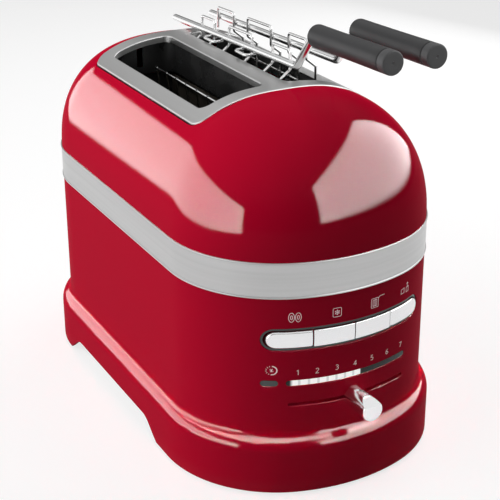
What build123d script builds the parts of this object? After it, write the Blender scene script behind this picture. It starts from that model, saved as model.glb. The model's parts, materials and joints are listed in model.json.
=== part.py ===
from build123d import *
import os
from math import acos, asin, cos, degrees, pi, radians, sin, sqrt, tan

# Two-slot pop up toaster with a clamp rack in its right slot, in millimetres.
# +Z is up, the controls face -Y, +X is to the right seen from the front.
# The origin is on the table, under the middle of the body.
# The carriage is stored lowered, as it is while the toaster is working.

# ---------------------------------------------------------------- body outline
body_half_width = 87.0
body_half_length = 163.5
corner_radius = 74.0
end_radius = 114.5
housing_wall = 2.2
flare = 6.7
skirt_wall = 2.4
skirt_bottom = 1.5
skirt_top = 30.0
shoulder_top = 43.0
band_bottom = 133.3
band_top = 156.8
band_proud = 0.4
bead_height = 1.4
bead_proud = 0.5
arch_half_length = 78.0
arch_height = 13.5
arch_slope = 18.0
arch_fillet = 14.0

# ---------------------------------------------------------------- domed top
dome_rise = 78.4
dome_power = 2.7
dome_root = 2.2
ridge_half_length = 69.4
dome_wall = 2.0
dome_levels = (1.0, 0.993, 0.975, 0.94, 0.88, 0.8, 0.68, 0.54, 0.4, 0.26, 0.13, 0.05)

# ---------------------------------------------------------------- bread slots
slot_centre_x = 29.8
slot_width = 44.0
slot_length = 143.7
chamber_centre_y = 9.6
slot_corner = 6.0
plate_half_width = 61.6
plate_length = 168.8
plate_corner = 9.0
plate_sheet = 1.2
plate_proud = 0.5
plate_gap = 0.7
rim_depth = 4.5
rim_wall = 0.8
edge_depth = 3.2

# ---------------------------------------------------------------- controls
button_row_z = 106.0
bezel_half_length = 56.7
bezel_height = 14.8
bezel_recess = 0.7
bezel_depth = 5.0
button_inset = 1.9
button_proud = 1.1
button_depth = 6.0
button_pitch = 27.4
button_seam = 0.5
button_clearance = 0.35
button_stem = 6.0
button_travel = 1.5
light_bar_z = 76.2
light_bar_half_length = 43.0
light_bar_height = 3.6
light_count = 14
light_pipe_height = 2.2
light_pipe_gap = 0.5
lens_depth = 3.0
lens_recess = 0.15
timer_lens_x = -52.0
timer_lens_length = 9.4
timer_lens_height = 4.0
slider_z = 61.2
slider_slot_half_angle = 21.4
slider_slot_height = 2.2
slider_stem_height = 1.6
slider_stem_width = 4.0
knob_diameter = 13.8
knob_length = 22.6
knob_wall_gap = 0.6
board_front_y = -134.0
board_sheet = 1.6
fit_gap = 0.1

# ---------------------------------------------------------------- underside
bottom_sheet = 1.2
bottom_plate_z = 15.0
bottom_plate_gap = 0.6
foot_x = 66.0
foot_y = 105.0
foot_radius = 10.0
post_radius = 3.1
screw_radius = 1.5
tray_half_width = 50.0
tray_front_y = -60.0
tray_back_y = 150.0
tray_sheet = 1.0
tray_wall_height = 8.0
tray_clearance = 0.5
tray_tab_length = 17.0
tray_tab_half_width = 20.0
gland_z = 62.0
gland_radius = 5.0
gland_bore = 3.6

# ---------------------------------------------------------------- toasting chamber
chamber_half_width = 66.0
chamber_bottom = 32.0
chamber_top = 208.0
chamber_margin = 4.6
chamber_sheet = 0.8
shield_x = 60.0
board_outer_x = 56.0
board_inner_x = 3.6
mica_sheet = 0.6
ribbon_sheet = 0.5
ribbon_height = 1.6
ribbon_count = 11
heater_bottom = 92.0
heater_top = 206.0
throat_bottom = 209.0
throat_gap = 2.5
throat_sheet = 0.8
throat_bridge = 5.0

# ---------------------------------------------------------------- bread guards
guard_offset = 22.0
guard_pivot_z = 84.0
guard_height = 131.0
guard_wire = 0.9
guard_pin = 1.2
guard_count = 9
guard_lean = 5.5
pin_clearance = 0.08
lever_length = 12.0

# ---------------------------------------------------------------- lift carriage
lift_travel = 58.0
cradle_top = 84.0
cradle_web = 1.6
cradle_slot_play = 3.0
cradle_height = 10.0
tine_half_width = 9.0
tine_count = 8
bracket_y = -79.0
bracket_sheet = 2.0
bracket_half_width = 40.0
bracket_bottom = 70.0
bracket_top = 100.0
rod_x = 8.0
rod_y = -85.0
rod_radius = 2.5
rod_clearance = 0.06
bush_radius = 5.0
rod_bottom = 30.0
rod_top = 190.0

# ---------------------------------------------------------------- lift drive
rack_module = 1.5
rack_gear_teeth = 14
wheel_module = 1.0
wheel_teeth = 44
motor_teeth = 12
pressure_angle = 20.0
addendum = 0.8
dedendum = 1.15
backlash = 0.3
drive_x = 40.5
drive_z = 100.0
rack_teeth = 15
rack_back = 6.0
rack_layer_y = -81.0
rack_layer_depth = 6.0
wheel_layer_y = -88.0
wheel_layer_depth = 4.0
gear_plate_y = -94.0
gear_plate_sheet = 1.6
shaft_radius = 2.5
motor_radius = 13.8
motor_length = 26.0

# ---------------------------------------------------------------- clamp rack
clamp_rod_offset = 15.0
clamp_rod_radius = 2.5
clamp_rod_back_y = 118.0
clamp_rod_back_z = 238.3
clamp_rod_front_y = -64.0
clamp_rod_front_z = 245.0
clamp_rise_y = -82.0
clamp_rise_z = 267.5
grip_start_y = -87.0
grip_start_z = 270.0
grip_end_y = -171.0
grip_end_z = 273.0
grip_radius = 7.3
grip_cap_length = 6.5
grip_cap_seam = 0.4
clamp_wire = 1.0
clamp_wall_offset = 19.3
clamp_loop_rise = 7.5
clamp_neck_drop = 5.5
clamp_bend_drop = 11.5
clamp_knee_z = 112.0
clamp_hinge_radius = 1.5
clamp_eye_radius = 3.2
clamp_rest_gap = 0.4
left_loops = ((79.0, 58.5), (36.0, 2.4), (-26.5, -49.6))
right_loops = ((100.0, 74.5), (53.0, 18.5), (-6.4, -30.0))
short_leg_z = 231.5

# ---------------------------------------------------------------- derived places
end_centre_y = body_half_length - end_radius
corner_centre_x = body_half_width - corner_radius
corner_centre_y = end_centre_y + sqrt((end_radius - corner_radius) ** 2 - corner_centre_x**2)
end_half_angle = degrees(asin(corner_centre_x / (end_radius - corner_radius)))
slot_front_y = chamber_centre_y - slot_length / 2
slot_back_y = chamber_centre_y + slot_length / 2
chamber_front_y = slot_front_y - chamber_margin
chamber_back_y = slot_back_y + chamber_margin
clamp_hinge_z = cradle_top + clamp_eye_radius + clamp_rest_gap
wheel_centre_z = drive_z + wheel_module * (wheel_teeth + motor_teeth) / 2
tray_floor_z = bottom_plate_z + bottom_sheet + 1.2


def save(part, label):
    part.label = label
    export_step(part, f"parts/{label}.step")


def front_plane(y):
    return Plane.XZ.offset(-y)


def dome_height(level, rise=dome_rise):
    return rise * (1 - level**dome_power) ** (1 / dome_root)


def dome_z(x):
    return band_top + dome_height(abs(x) / body_half_width)


def plan_face(grow=0.0, level=1.0):
    # Straight sides, four corner arcs and two end arcs, all tangent. A level below 1
    # shrinks each end towards the end of the ridge, which gives the dome's contours.
    corner_x = corner_centre_x * level
    corner_y = ridge_half_length + (corner_centre_y - ridge_half_length) * level
    end_y = ridge_half_length + (end_centre_y - ridge_half_length) * level
    corner_r = (corner_radius + grow) * level
    end_r = (end_radius + grow) * level
    side_x = corner_x + corner_r
    sweep_angle = 90 - end_half_angle
    with BuildSketch() as outline:
        with BuildLine():
            Line((side_x, -corner_y), (side_x, corner_y))
            CenterArc((corner_x, corner_y), corner_r, 0, sweep_angle)
            CenterArc((0, end_y), end_r, sweep_angle, 2 * end_half_angle)
            CenterArc((-corner_x, corner_y), corner_r, 90 + end_half_angle, sweep_angle)
            Line((-side_x, corner_y), (-side_x, -corner_y))
            CenterArc((-corner_x, -corner_y), corner_r, 180, sweep_angle)
            CenterArc((0, -end_y), end_r, 180 + sweep_angle, 2 * end_half_angle)
            CenterArc((corner_x, -corner_y), corner_r, 270 + end_half_angle, sweep_angle)
        make_face()
    return outline.sketch


def plan_ring(outer, inner):
    with BuildSketch() as ring:
        add(plan_face(outer))
        add(plan_face(inner), mode=Mode.SUBTRACT)
    return ring.sketch


# ---------------------------------------------------------------- casings


def shoulder_flare(height):
    # An S of two tangent arcs between the skirt and the upright wall.
    span = shoulder_top - skirt_top
    reach = (span**2 + flare**2) / (2 * flare)
    lower = reach * 0.6
    upper = reach - lower
    split_z = skirt_top + span * lower / reach
    if height <= split_z:
        return flare - lower + sqrt(lower**2 - (height - skirt_top) ** 2)
    return upper - sqrt(upper**2 - (shoulder_top - height) ** 2)


def make_lower_housing():
    shoulder_steps = 7
    with BuildPart() as shoulder:
        for step in range(shoulder_steps):
            height = skirt_top + (shoulder_top - skirt_top) * step / (shoulder_steps - 1)
            with BuildSketch(Plane.XY.offset(height)):
                add(plan_face(shoulder_flare(height)))
        loft()
    with BuildPart() as housing:
        with BuildSketch(Plane.XY.offset(skirt_bottom)):
            add(plan_face(flare))
        extrude(amount=skirt_top - skirt_bottom)
        add(shoulder.part)
        with BuildSketch(Plane.XY.offset(shoulder_top)):
            add(plan_face())
        extrude(amount=band_bottom - shoulder_top)
        with BuildSketch(Plane.XY.offset(skirt_bottom)):
            add(plan_face(flare - skirt_wall))
        extrude(amount=skirt_top - skirt_wall - skirt_bottom, mode=Mode.SUBTRACT)
        with BuildSketch(Plane.XY.offset(skirt_bottom)):
            add(plan_face(-housing_wall))
        extrude(amount=band_bottom - skirt_bottom, mode=Mode.SUBTRACT)
        # screw posts under the inner ledge
        with BuildSketch(Plane.XY.offset(bottom_plate_z + bottom_sheet)):
            with Locations(*post_places()):
                Circle(post_radius)
        extrude(amount=skirt_top - skirt_wall - bottom_plate_z - bottom_sheet)
        with BuildSketch(Plane.XY.offset(bottom_plate_z + bottom_sheet)):
            with Locations(*post_places()):
                Circle(screw_radius)
        extrude(amount=8, mode=Mode.SUBTRACT)
        # long arch through both sides of the skirt
        with BuildSketch(Plane.YZ.offset(-body_half_width - 2 * flare)):
            low = skirt_bottom - 3
            run = arch_slope * (arch_height - low) / arch_height
            with BuildLine():
                Polyline(
                    (chamber_centre_y - arch_half_length, low),
                    (chamber_centre_y - arch_half_length + run, arch_height),
                    (chamber_centre_y + arch_half_length - run, arch_height),
                    (chamber_centre_y + arch_half_length, low),
                    close=True,
                )
            make_face()
            fillet(vertices().group_by(Axis.Y)[-1], arch_fillet)
        extrude(amount=2 * body_half_width + 4 * flare, mode=Mode.SUBTRACT)
        # openings for the controls, cut straight back through the front wall
        with BuildSketch(front_plane(board_front_y)):
            with Locations((0, button_row_z)):
                SlotOverall(2 * (bezel_half_length + fit_gap), bezel_height + 2 * fit_gap)
            with Locations((0, light_bar_z)):
                SlotOverall(2 * (light_bar_half_length + fit_gap), light_bar_height + 2 * fit_gap)
            with Locations((timer_lens_x, light_bar_z)):
                SlotOverall(2 * (timer_lens_length / 2 + fit_gap), timer_lens_height + 2 * fit_gap)
            with Locations((0, slider_z)):
                slot_reach = end_radius * sin(radians(slider_slot_half_angle))
                SlotOverall(2 * slot_reach, slider_slot_height)
        extrude(amount=body_half_length + board_front_y + 10, mode=Mode.SUBTRACT)
        # crumb tray mouth and cord gland hole in the rear wall
        with BuildSketch(front_plane(body_half_length + 2 * flare)):
            with Locations((0, tray_floor_z + 5)):
                Rectangle(2 * tray_half_width + 9, 12.4)
            with Locations((0, gland_z)):
                Circle(gland_radius + fit_gap)
        extrude(amount=4 * flare + 20, mode=Mode.SUBTRACT)
    save(housing.part, "lower_housing")


def post_places():
    reach_x = body_half_width + flare - skirt_wall - post_radius
    reach_y = body_half_length + flare - skirt_wall - post_radius
    places = [(side * reach_x, y) for side in (-1, 1) for y in (-80, 84)]
    return places + [(0, -reach_y)]


def make_trim_band():
    with BuildPart() as band:
        with BuildSketch(Plane.XY.offset(band_bottom)):
            add(plan_ring(band_proud, -housing_wall))
        extrude(amount=band_top - band_bottom)
        for low in (band_bottom, band_top - bead_height):
            with BuildSketch(Plane.XY.offset(low)):
                add(plan_ring(band_proud + bead_proud, 0))
            extrude(amount=bead_height)
    save(band.part, "trim_band")


def make_top_shell():
    with BuildPart() as hollow:
        for level in dome_levels:
            with BuildSketch(Plane.XY.offset(band_top + dome_height(level, dome_rise - dome_wall))):
                add(plan_face(-dome_wall, level))
        loft()
    with BuildPart() as shell:
        for level in dome_levels:
            with BuildSketch(Plane.XY.offset(band_top + dome_height(level))):
                add(plan_face(level=level))
        loft()
        add(hollow.part, mode=Mode.SUBTRACT)
        with BuildSketch(Plane.XY.offset(band_top + dome_rise / 2)):
            with Locations((0, chamber_centre_y)):
                RectangleRounded(
                    2 * (plate_half_width + plate_gap), plate_length + 2 * plate_gap, plate_corner + plate_gap
                )
        extrude(amount=dome_rise, mode=Mode.SUBTRACT)
    save(shell.part, "top_shell")


def curved_slab(depth, drop=0.0):
    # A slab that follows the dome across X, as long as the slot plate. Its top lies
    # below the plate's surface by the drop.
    count = 12
    half = plate_half_width + 2
    rise = plate_proud - drop
    xs = [half * (2 * n / count - 1) for n in range(count + 1)]
    with BuildPart() as slab:
        with BuildSketch(front_plane(chamber_centre_y + plate_length / 2)):
            with BuildLine():
                top = Spline([(x, dome_z(x) + rise) for x in xs])
                Line(top @ 1, (half, dome_z(half) + rise - depth))
                Spline([(x, dome_z(x) + rise - depth) for x in reversed(xs)])
                Line((-half, dome_z(half) + rise - depth), top @ 0)
            make_face()
        extrude(amount=plate_length)
    return slab.part


def slot_outlines(grow):
    with BuildSketch() as slots:
        with Locations((-slot_centre_x, chamber_centre_y), (slot_centre_x, chamber_centre_y)):
            RectangleRounded(slot_width + 2 * grow, slot_length + 2 * grow, slot_corner + grow)
    return slots.sketch


def make_slot_plate():
    with BuildPart() as plate:
        with BuildSketch(Plane.XY.offset(band_top + dome_rise / 2)):
            with Locations((0, chamber_centre_y)):
                RectangleRounded(2 * plate_half_width, plate_length, plate_corner)
            add(slot_outlines(0), mode=Mode.SUBTRACT)
        extrude(amount=dome_rise)
        add(curved_slab(plate_sheet), mode=Mode.INTERSECT)
    with BuildPart() as rims:
        with BuildSketch(Plane.XY.offset(band_top + dome_rise / 2)):
            add(slot_outlines(rim_wall))
            add(slot_outlines(0), mode=Mode.SUBTRACT)
        extrude(amount=dome_rise)
        add(curved_slab(rim_depth), mode=Mode.INTERSECT)
    with BuildPart() as edge:
        with BuildSketch(Plane.XY.offset(band_top + dome_rise / 2)):
            with Locations((0, chamber_centre_y)):
                RectangleRounded(2 * plate_half_width, plate_length, plate_corner)
                RectangleRounded(
                    2 * plate_half_width - 2 * rim_wall,
                    plate_length - 2 * rim_wall,
                    plate_corner - rim_wall,
                    mode=Mode.SUBTRACT,
                )
        extrude(amount=dome_rise)
        add(curved_slab(edge_depth), mode=Mode.INTERSECT)
    with BuildPart() as whole:
        add(plate.part)
        add(rims.part)
        add(edge.part)
    save(whole.part, "slot_plate")


def make_throats():
    # Sheet funnels that line the slots from the plate down to the heaters, with a
    # notch at each end in line with the cradle.
    top = band_top + dome_rise
    with BuildPart() as throats:
        with BuildSketch(Plane.XY.offset(throat_bottom)):
            add(slot_outlines(throat_gap + throat_sheet))
            add(slot_outlines(throat_gap), mode=Mode.SUBTRACT)
        extrude(amount=top - throat_bottom)
        with BuildSketch(Plane.XY.offset(throat_bottom + throat_bridge)):
            with Locations((-slot_centre_x, chamber_centre_y), (slot_centre_x, chamber_centre_y)):
                Rectangle(cradle_web + cradle_slot_play, 2 * slot_length)
        extrude(amount=top - throat_bottom, mode=Mode.SUBTRACT)
        add(curved_slab(dome_rise / 2, plate_sheet + fit_gap), mode=Mode.INTERSECT)
    save(throats.part, "slot_throats")


# ---------------------------------------------------------------- controls


def front_insert(outer, inner, low, height):
    # A band that follows the front wall, to be cut to the shape of one control.
    with BuildPart() as insert:
        with BuildSketch(Plane.XY.offset(low)):
            add(plan_ring(outer, inner))
            with Locations((0, body_half_length)):
                Rectangle(4 * body_half_width, 3 * body_half_length, mode=Mode.SUBTRACT)
        extrude(amount=height)
    return insert.part


def make_bezel():
    with BuildPart() as bezel:
        add(front_insert(-bezel_recess, -bezel_depth, button_row_z - bezel_height, 2 * bezel_height))
        with BuildSketch(front_plane(board_front_y)):
            with Locations((0, button_row_z)):
                SlotOverall(2 * bezel_half_length, bezel_height)
                inset = button_inset - button_clearance
                SlotOverall(2 * (bezel_half_length - inset), bezel_height - 2 * inset, mode=Mode.SUBTRACT)
        extrude(amount=body_half_length, mode=Mode.INTERSECT)
    save(bezel.part, "button_bezel")


def make_button(index, label):
    centre = button_pitch * (index - 1.5)
    stem_back = board_front_y - 4.2 - button_travel
    with BuildPart() as stem:
        with BuildSketch(Plane.XY.offset(button_row_z - button_stem / 2)):
            add(plan_face(1 - button_depth))
            with Locations((centre, stem_back - body_half_length / 2)):
                Rectangle(button_stem, body_half_length, mode=Mode.INTERSECT)
        extrude(amount=button_stem)
    with BuildPart() as button:
        add(front_insert(button_proud, -button_depth, button_row_z - bezel_height, 2 * bezel_height))
        with BuildSketch(front_plane(board_front_y)):
            with Locations((0, button_row_z)):
                SlotOverall(2 * (bezel_half_length - button_inset), bezel_height - 2 * button_inset)
            with Locations((centre, button_row_z)):
                Rectangle(button_pitch - button_seam, bezel_height, mode=Mode.INTERSECT)
        extrude(amount=body_half_length, mode=Mode.INTERSECT)
        add(stem.part)
    save(button.part, label)


def make_switches():
    with BuildPart() as switches:
        with BuildSketch(front_plane(board_front_y)):
            with Locations(*[(button_pitch * (n - 1.5), button_row_z) for n in range(4)]):
                Rectangle(6.2, 6.2)
        extrude(amount=3)
        with BuildSketch(front_plane(board_front_y - 3)):
            with Locations(*[(button_pitch * (n - 1.5), button_row_z) for n in range(4)]):
                Circle(1.7)
        extrude(amount=1)
    save(switches.part, "button_switches")


def make_lens(x, half_length, height, label):
    with BuildPart() as lens:
        add(front_insert(-lens_recess, -lens_depth, light_bar_z - height, 2 * height))
        with BuildSketch(front_plane(board_front_y)):
            with Locations((x, light_bar_z)):
                SlotOverall(2 * half_length, height)
        extrude(amount=body_half_length, mode=Mode.INTERSECT)
    save(lens.part, label)


def make_light_pipes():
    pitch = (2 * light_bar_half_length - light_bar_height) / light_count
    first = -pitch * (light_count - 1) / 2
    with BuildPart() as pipes:
        with BuildSketch(front_plane(board_front_y)):
            with Locations(*[(first + pitch * n, light_bar_z) for n in range(light_count)]):
                Rectangle(pitch - light_pipe_gap, light_pipe_height)
            with Locations((timer_lens_x, light_bar_z)):
                Rectangle(timer_lens_length - 3, light_pipe_height)
        extrude(amount=body_half_length)
        with BuildSketch(Plane.XY.offset(light_bar_z - light_bar_height)):
            add(plan_face(-lens_depth - fit_gap))
        extrude(amount=2 * light_bar_height, mode=Mode.INTERSECT)
    save(pipes.part, "light_pipes")


def arc_band(outer, inner, half_angle):
    # Part of a ring about the centre of the front arc, facing the front.
    turn = radians(half_angle)
    with BuildSketch() as band:
        with BuildLine():
            CenterArc((0, -end_centre_y), outer, 270 - half_angle, 2 * half_angle)
            CenterArc((0, -end_centre_y), inner, 270 - half_angle, 2 * half_angle)
            for side in (-1, 1):
                Line(
                    (side * inner * sin(turn), -end_centre_y - inner * cos(turn)),
                    (side * outer * sin(turn), -end_centre_y - outer * cos(turn)),
                )
        make_face()
    return band.sketch


def make_slider():
    # The slider runs on a curved rail, concentric with the front wall.
    rail_radius = end_radius - housing_wall - 9
    with BuildPart() as guide:
        with BuildSketch(Plane.XY.offset(slider_z - 6)):
            add(arc_band(rail_radius + 1.5, rail_radius - 1.5, slider_slot_half_angle + 1))
        extrude(amount=12)
        with BuildSketch(Plane.XY.offset(slider_z - 6)):
            add(arc_band(rail_radius + 4, rail_radius - 4, slider_slot_half_angle + 1))
        extrude(amount=1.5)
    save(guide.part, "slider_guide")
    with BuildPart() as carriage:
        with BuildSketch(Plane.XY.offset(slider_z - 3.5)):
            add(arc_band(rail_radius + 6, rail_radius + 1.8, 2.4))
        extrude(amount=7)
        stem_back = -end_centre_y - rail_radius - 5
        with BuildSketch(front_plane(stem_back)):
            with Locations((0, slider_z)):
                Rectangle(slider_stem_width, slider_stem_height)
        extrude(amount=body_half_length + knob_wall_gap + stem_back)
    save(carriage.part, "slider_carriage")
    with BuildPart() as knob:
        with BuildSketch(front_plane(-body_half_length - knob_wall_gap)):
            with Locations((0, slider_z)):
                Circle(knob_diameter / 2)
        extrude(amount=knob_length)
        chamfer(edges().group_by(Axis.Y)[0], 0.5)
        # finger facet sloping down to the tip
        tip_y = -body_half_length - knob_wall_gap - knob_length
        top_z = slider_z + knob_diameter / 2
        with BuildSketch(Plane.YZ.offset(-knob_diameter)):
            with BuildLine():
                Polyline(
                    (tip_y - 1, top_z - 4.4),
                    (tip_y + 9, top_z + 0.2),
                    (tip_y - 1, top_z + 3),
                    close=True,
                )
            make_face()
        extrude(amount=2 * knob_diameter, mode=Mode.SUBTRACT)
    save(knob.part, "browning_knob")


def make_boards():
    board_low = slider_z + 8
    with BuildPart() as control_board:
        with BuildSketch(front_plane(board_front_y + board_sheet)):
            with Locations((0, (board_low + 126) / 2)):
                Rectangle(112, 126 - board_low)
        extrude(amount=board_sheet)
    save(control_board.part, "control_board")
    rear_y = chamber_back_y + 24
    with BuildPart() as power_board:
        with BuildSketch(front_plane(rear_y)):
            with Locations((0, 100)):
                Rectangle(96, 88)
        extrude(amount=board_sheet)
    save(power_board.part, "power_board")
    with BuildPart() as transformer:
        with BuildSketch(front_plane(rear_y + 24)):
            with Locations((-20, 112)):
                Rectangle(34, 30)
        extrude(amount=24)
        with BuildSketch(front_plane(rear_y + 21)):
            with Locations((-20, 112)):
                Rectangle(22, 40)
        extrude(amount=18)
    save(transformer.part, "transformer")
    with BuildPart() as relay:
        with BuildSketch(front_plane(rear_y + 16)):
            with Locations((18, 118)):
                Rectangle(19, 15)
        extrude(amount=16)
        fillet(edges().filter_by(Axis.Y), 1)
    save(relay.part, "relay")
    with BuildPart() as terminal_block:
        with BuildSketch(front_plane(rear_y + 14)):
            with Locations((22, 80)):
                Rectangle(30, 12)
        extrude(amount=14)
        with BuildSketch(front_plane(rear_y + 14)):
            with Locations(*[(22 + offset, 80) for offset in (-9, 0, 9)]):
                Circle(2.4)
        extrude(amount=6, mode=Mode.SUBTRACT)
    save(terminal_block.part, "terminal_block")


def make_gland():
    wall_y = body_half_length
    with BuildPart() as gland:
        with BuildSketch(front_plane(wall_y + 5)):
            with Locations((0, gland_z)):
                Circle(gland_radius)
        extrude(amount=14)
        with BuildSketch(front_plane(wall_y + 5)):
            with Locations((0, gland_z)):
                Circle(gland_radius + 3)
        extrude(amount=4.4)
        fillet(edges().group_by(Axis.Y)[-1].filter_by(GeomType.CIRCLE).sort_by(SortBy.RADIUS)[-1], 1.2)
        with BuildSketch(front_plane(wall_y + 5)):
            with Locations((0, gland_z)):
                Circle(gland_bore)
        extrude(amount=14, mode=Mode.SUBTRACT)
    save(gland.part, "cord_gland")


# ---------------------------------------------------------------- underside


def foot_places():
    return [(side * foot_x, end * foot_y) for side in (-1, 1) for end in (-1, 1)]


def make_underside():
    with BuildPart() as bottom_plate:
        with BuildSketch(Plane.XY.offset(bottom_plate_z)):
            add(plan_face(flare - skirt_wall - bottom_plate_gap))
            with Locations(*post_places()):
                Circle(screw_radius + 0.2, mode=Mode.SUBTRACT)
            with Locations(*foot_places()):
                Circle(screw_radius + 0.5, mode=Mode.SUBTRACT)
        extrude(amount=bottom_sheet)
        # runners that guide the crumb tray
        runner_x = tray_half_width + tray_clearance + 1
        with BuildSketch(Plane.XY.offset(bottom_plate_z + bottom_sheet)):
            with Locations((-runner_x, chamber_centre_y + 35), (runner_x, chamber_centre_y + 35)):
                Rectangle(2, tray_back_y - tray_front_y)
        extrude(amount=9)
    save(bottom_plate.part, "bottom_plate")
    with BuildPart() as feet:
        with BuildSketch():
            with Locations(*foot_places()):
                Circle(foot_radius)
        extrude(amount=bottom_plate_z, taper=4)
        with BuildSketch():
            with Locations(*foot_places()):
                Circle(4.2)
        extrude(amount=7, mode=Mode.SUBTRACT)
        with BuildSketch():
            with Locations(*foot_places()):
                Circle(screw_radius + 0.5)
        extrude(amount=bottom_plate_z, mode=Mode.SUBTRACT)
    save(feet.part, "rubber_feet")
    with BuildPart() as screws:
        with BuildSketch(Plane.XY.offset(4)):
            with Locations(*foot_places()):
                Circle(3.6)
        extrude(amount=3)
        with BuildSketch(Plane.XY.offset(4)):
            with Locations(*foot_places()):
                Circle(screw_radius + 0.4)
        extrude(amount=16)
        with BuildSketch(Plane.XY.offset(bottom_plate_z - 2)):
            with Locations(*post_places()):
                Circle(2.8)
        extrude(amount=2)
        with BuildSketch(Plane.XY.offset(bottom_plate_z - 2)):
            with Locations(*post_places()):
                Circle(screw_radius - 0.05)
        extrude(amount=10)
    save(screws.part, "base_screws")
    with BuildPart() as hooks:
        hook_places = [(-30, 118), (30, 118)]
        with BuildSketch(Plane.XY.offset(3)):
            with Locations(*hook_places):
                SlotOverall(30, 8)
        extrude(amount=2)
        with BuildSketch(Plane.XY.offset(5)):
            with Locations(*hook_places):
                SlotOverall(14, 6)
        extrude(amount=bottom_plate_z - 5)
    save(hooks.part, "cord_wrap_hooks")


def make_crumb_tray():
    panel_bottom = tray_floor_z
    with BuildPart() as tray:
        with BuildSketch(Plane.XY.offset(tray_floor_z)):
            with Locations((0, (tray_front_y + tray_back_y) / 2)):
                Rectangle(2 * tray_half_width, tray_back_y - tray_front_y)
        extrude(amount=tray_wall_height)
        with BuildSketch(Plane.XY.offset(tray_floor_z + tray_sheet)):
            with Locations((0, (tray_front_y + tray_back_y) / 2)):
                Rectangle(2 * tray_half_width - 2 * tray_sheet, tray_back_y - tray_front_y - 2 * tray_sheet)
        extrude(amount=tray_wall_height, mode=Mode.SUBTRACT)
        with BuildSketch(Plane.XY.offset(tray_floor_z)):
            add(plan_face(flare - skirt_wall))
            with Locations((0, tray_back_y + body_half_length)):
                Rectangle(2 * tray_half_width - 6, 2 * body_half_length, mode=Mode.INTERSECT)
        extrude(amount=tray_sheet)
    save(tray.part, "crumb_tray")
    with BuildPart() as grip:
        with BuildSketch(Plane.XY.offset(panel_bottom)):
            add(plan_ring(flare, flare - skirt_wall))
            with Locations((0, 2 * body_half_length - 20)):
                Rectangle(2 * tray_half_width + 8, 2 * body_half_length, mode=Mode.INTERSECT)
        extrude(amount=10.4)
        tab_back = body_half_length + flare + tray_tab_length
        tab_front = body_half_length + flare - 1
        with BuildSketch(Plane.XY.offset(panel_bottom + 3)):
            with Locations((0, (tab_front + tab_back) / 2)):
                RectangleRounded(2 * tray_tab_half_width, tab_back - tab_front, 6)
            with Locations((0, tab_front + 4)):
                Rectangle(2 * tray_tab_half_width, 8)
        extrude(amount=4)
    save(grip.part, "crumb_tray_grip")


# ---------------------------------------------------------------- toasting chamber


def guard_places():
    sides = []
    for slot, slot_name in ((-1, "left"), (1, "right")):
        for side in (-1, 1):
            face = "outer" if slot == side else "inner"
            sides.append((slot, side, f"{slot_name}_{face}_guard"))
    return sides


def make_chamber_plates():
    pivots = [(slot * slot_centre_x + side * guard_offset, guard_pivot_z) for slot, side, _ in guard_places()]
    web_low = cradle_top - cradle_height - 3
    web_high = cradle_top + lift_travel + 3
    end_plates = (
        (chamber_front_y, "chamber_front_plate"),
        (chamber_back_y + chamber_sheet, "chamber_rear_plate"),
    )
    for y, label in end_plates:
        with BuildPart() as plate:
            with BuildSketch(front_plane(y)):
                with Locations((0, (chamber_bottom + chamber_top) / 2)):
                    RectangleRounded(2 * chamber_half_width, chamber_top - chamber_bottom, 8)
                with Locations(*[(slot * slot_centre_x, (web_low + web_high) / 2) for slot in (-1, 1)]):
                    Rectangle(cradle_web + cradle_slot_play, web_high - web_low, mode=Mode.SUBTRACT)
                with Locations(*pivots):
                    Circle(guard_pin + pin_clearance, mode=Mode.SUBTRACT)
            extrude(amount=chamber_sheet)
            if label == "chamber_front_plate":
                for low in (rod_bottom, rod_top - 2):
                    with BuildSketch(Plane.XY.offset(low)):
                        depth = chamber_front_y - (rod_y - 5)
                        with Locations((0, chamber_front_y - depth / 2)):
                            Rectangle(2 * rod_x + 12, depth)
                        with Locations((-rod_x, rod_y), (rod_x, rod_y)):
                            Circle(rod_radius, mode=Mode.SUBTRACT)
                    extrude(amount=2)
        save(plate.part, label)


def make_shields():
    length = chamber_back_y - chamber_front_y
    for side, label in ((-1, "left_heat_shield"), (1, "right_heat_shield")):
        with BuildPart() as shield:
            with BuildSketch(Plane.YZ.offset(side * shield_x)):
                with Locations((chamber_centre_y, (chamber_bottom + chamber_top - 4) / 2)):
                    Rectangle(length, chamber_top - 4 - chamber_bottom)
            extrude(amount=side * chamber_sheet)
        save(shield.part, label)
    with BuildPart() as reflector:
        with BuildSketch(Plane.YZ):
            with Locations((chamber_centre_y, (chamber_bottom + chamber_top) / 2)):
                Rectangle(length, chamber_top - chamber_bottom)
        extrude(amount=chamber_sheet / 2, both=True)
    save(reflector.part, "centre_reflector")


def make_heaters():
    # Mica boards on both sides of each slot, with ribbon wound across their faces.
    length = chamber_back_y - chamber_front_y
    step = (heater_top - heater_bottom - 10) / (ribbon_count - 1)
    for slot, name in ((-1, "left"), (1, "right")):
        faces = ((slot * board_outer_x, -slot), (slot * board_inner_x, slot))
        with BuildPart() as boards:
            for x, _ in faces:
                with BuildSketch(Plane.YZ.offset(x - mica_sheet / 2)):
                    with Locations((chamber_centre_y, (heater_bottom + heater_top) / 2)):
                        Rectangle(length, heater_top - heater_bottom)
                extrude(amount=mica_sheet)
        save(boards.part, f"{name}_heater_boards")
        with BuildPart() as ribbons:
            for x, inward in faces:
                with BuildSketch(Plane.YZ.offset(x + inward * mica_sheet / 2)):
                    for n in range(ribbon_count):
                        with Locations((chamber_centre_y, heater_bottom + 5 + n * step)):
                            Rectangle(length - 16, ribbon_height)
                extrude(amount=inward * ribbon_sheet)
        save(ribbons.part, f"{name}_heater_ribbons")


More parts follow.
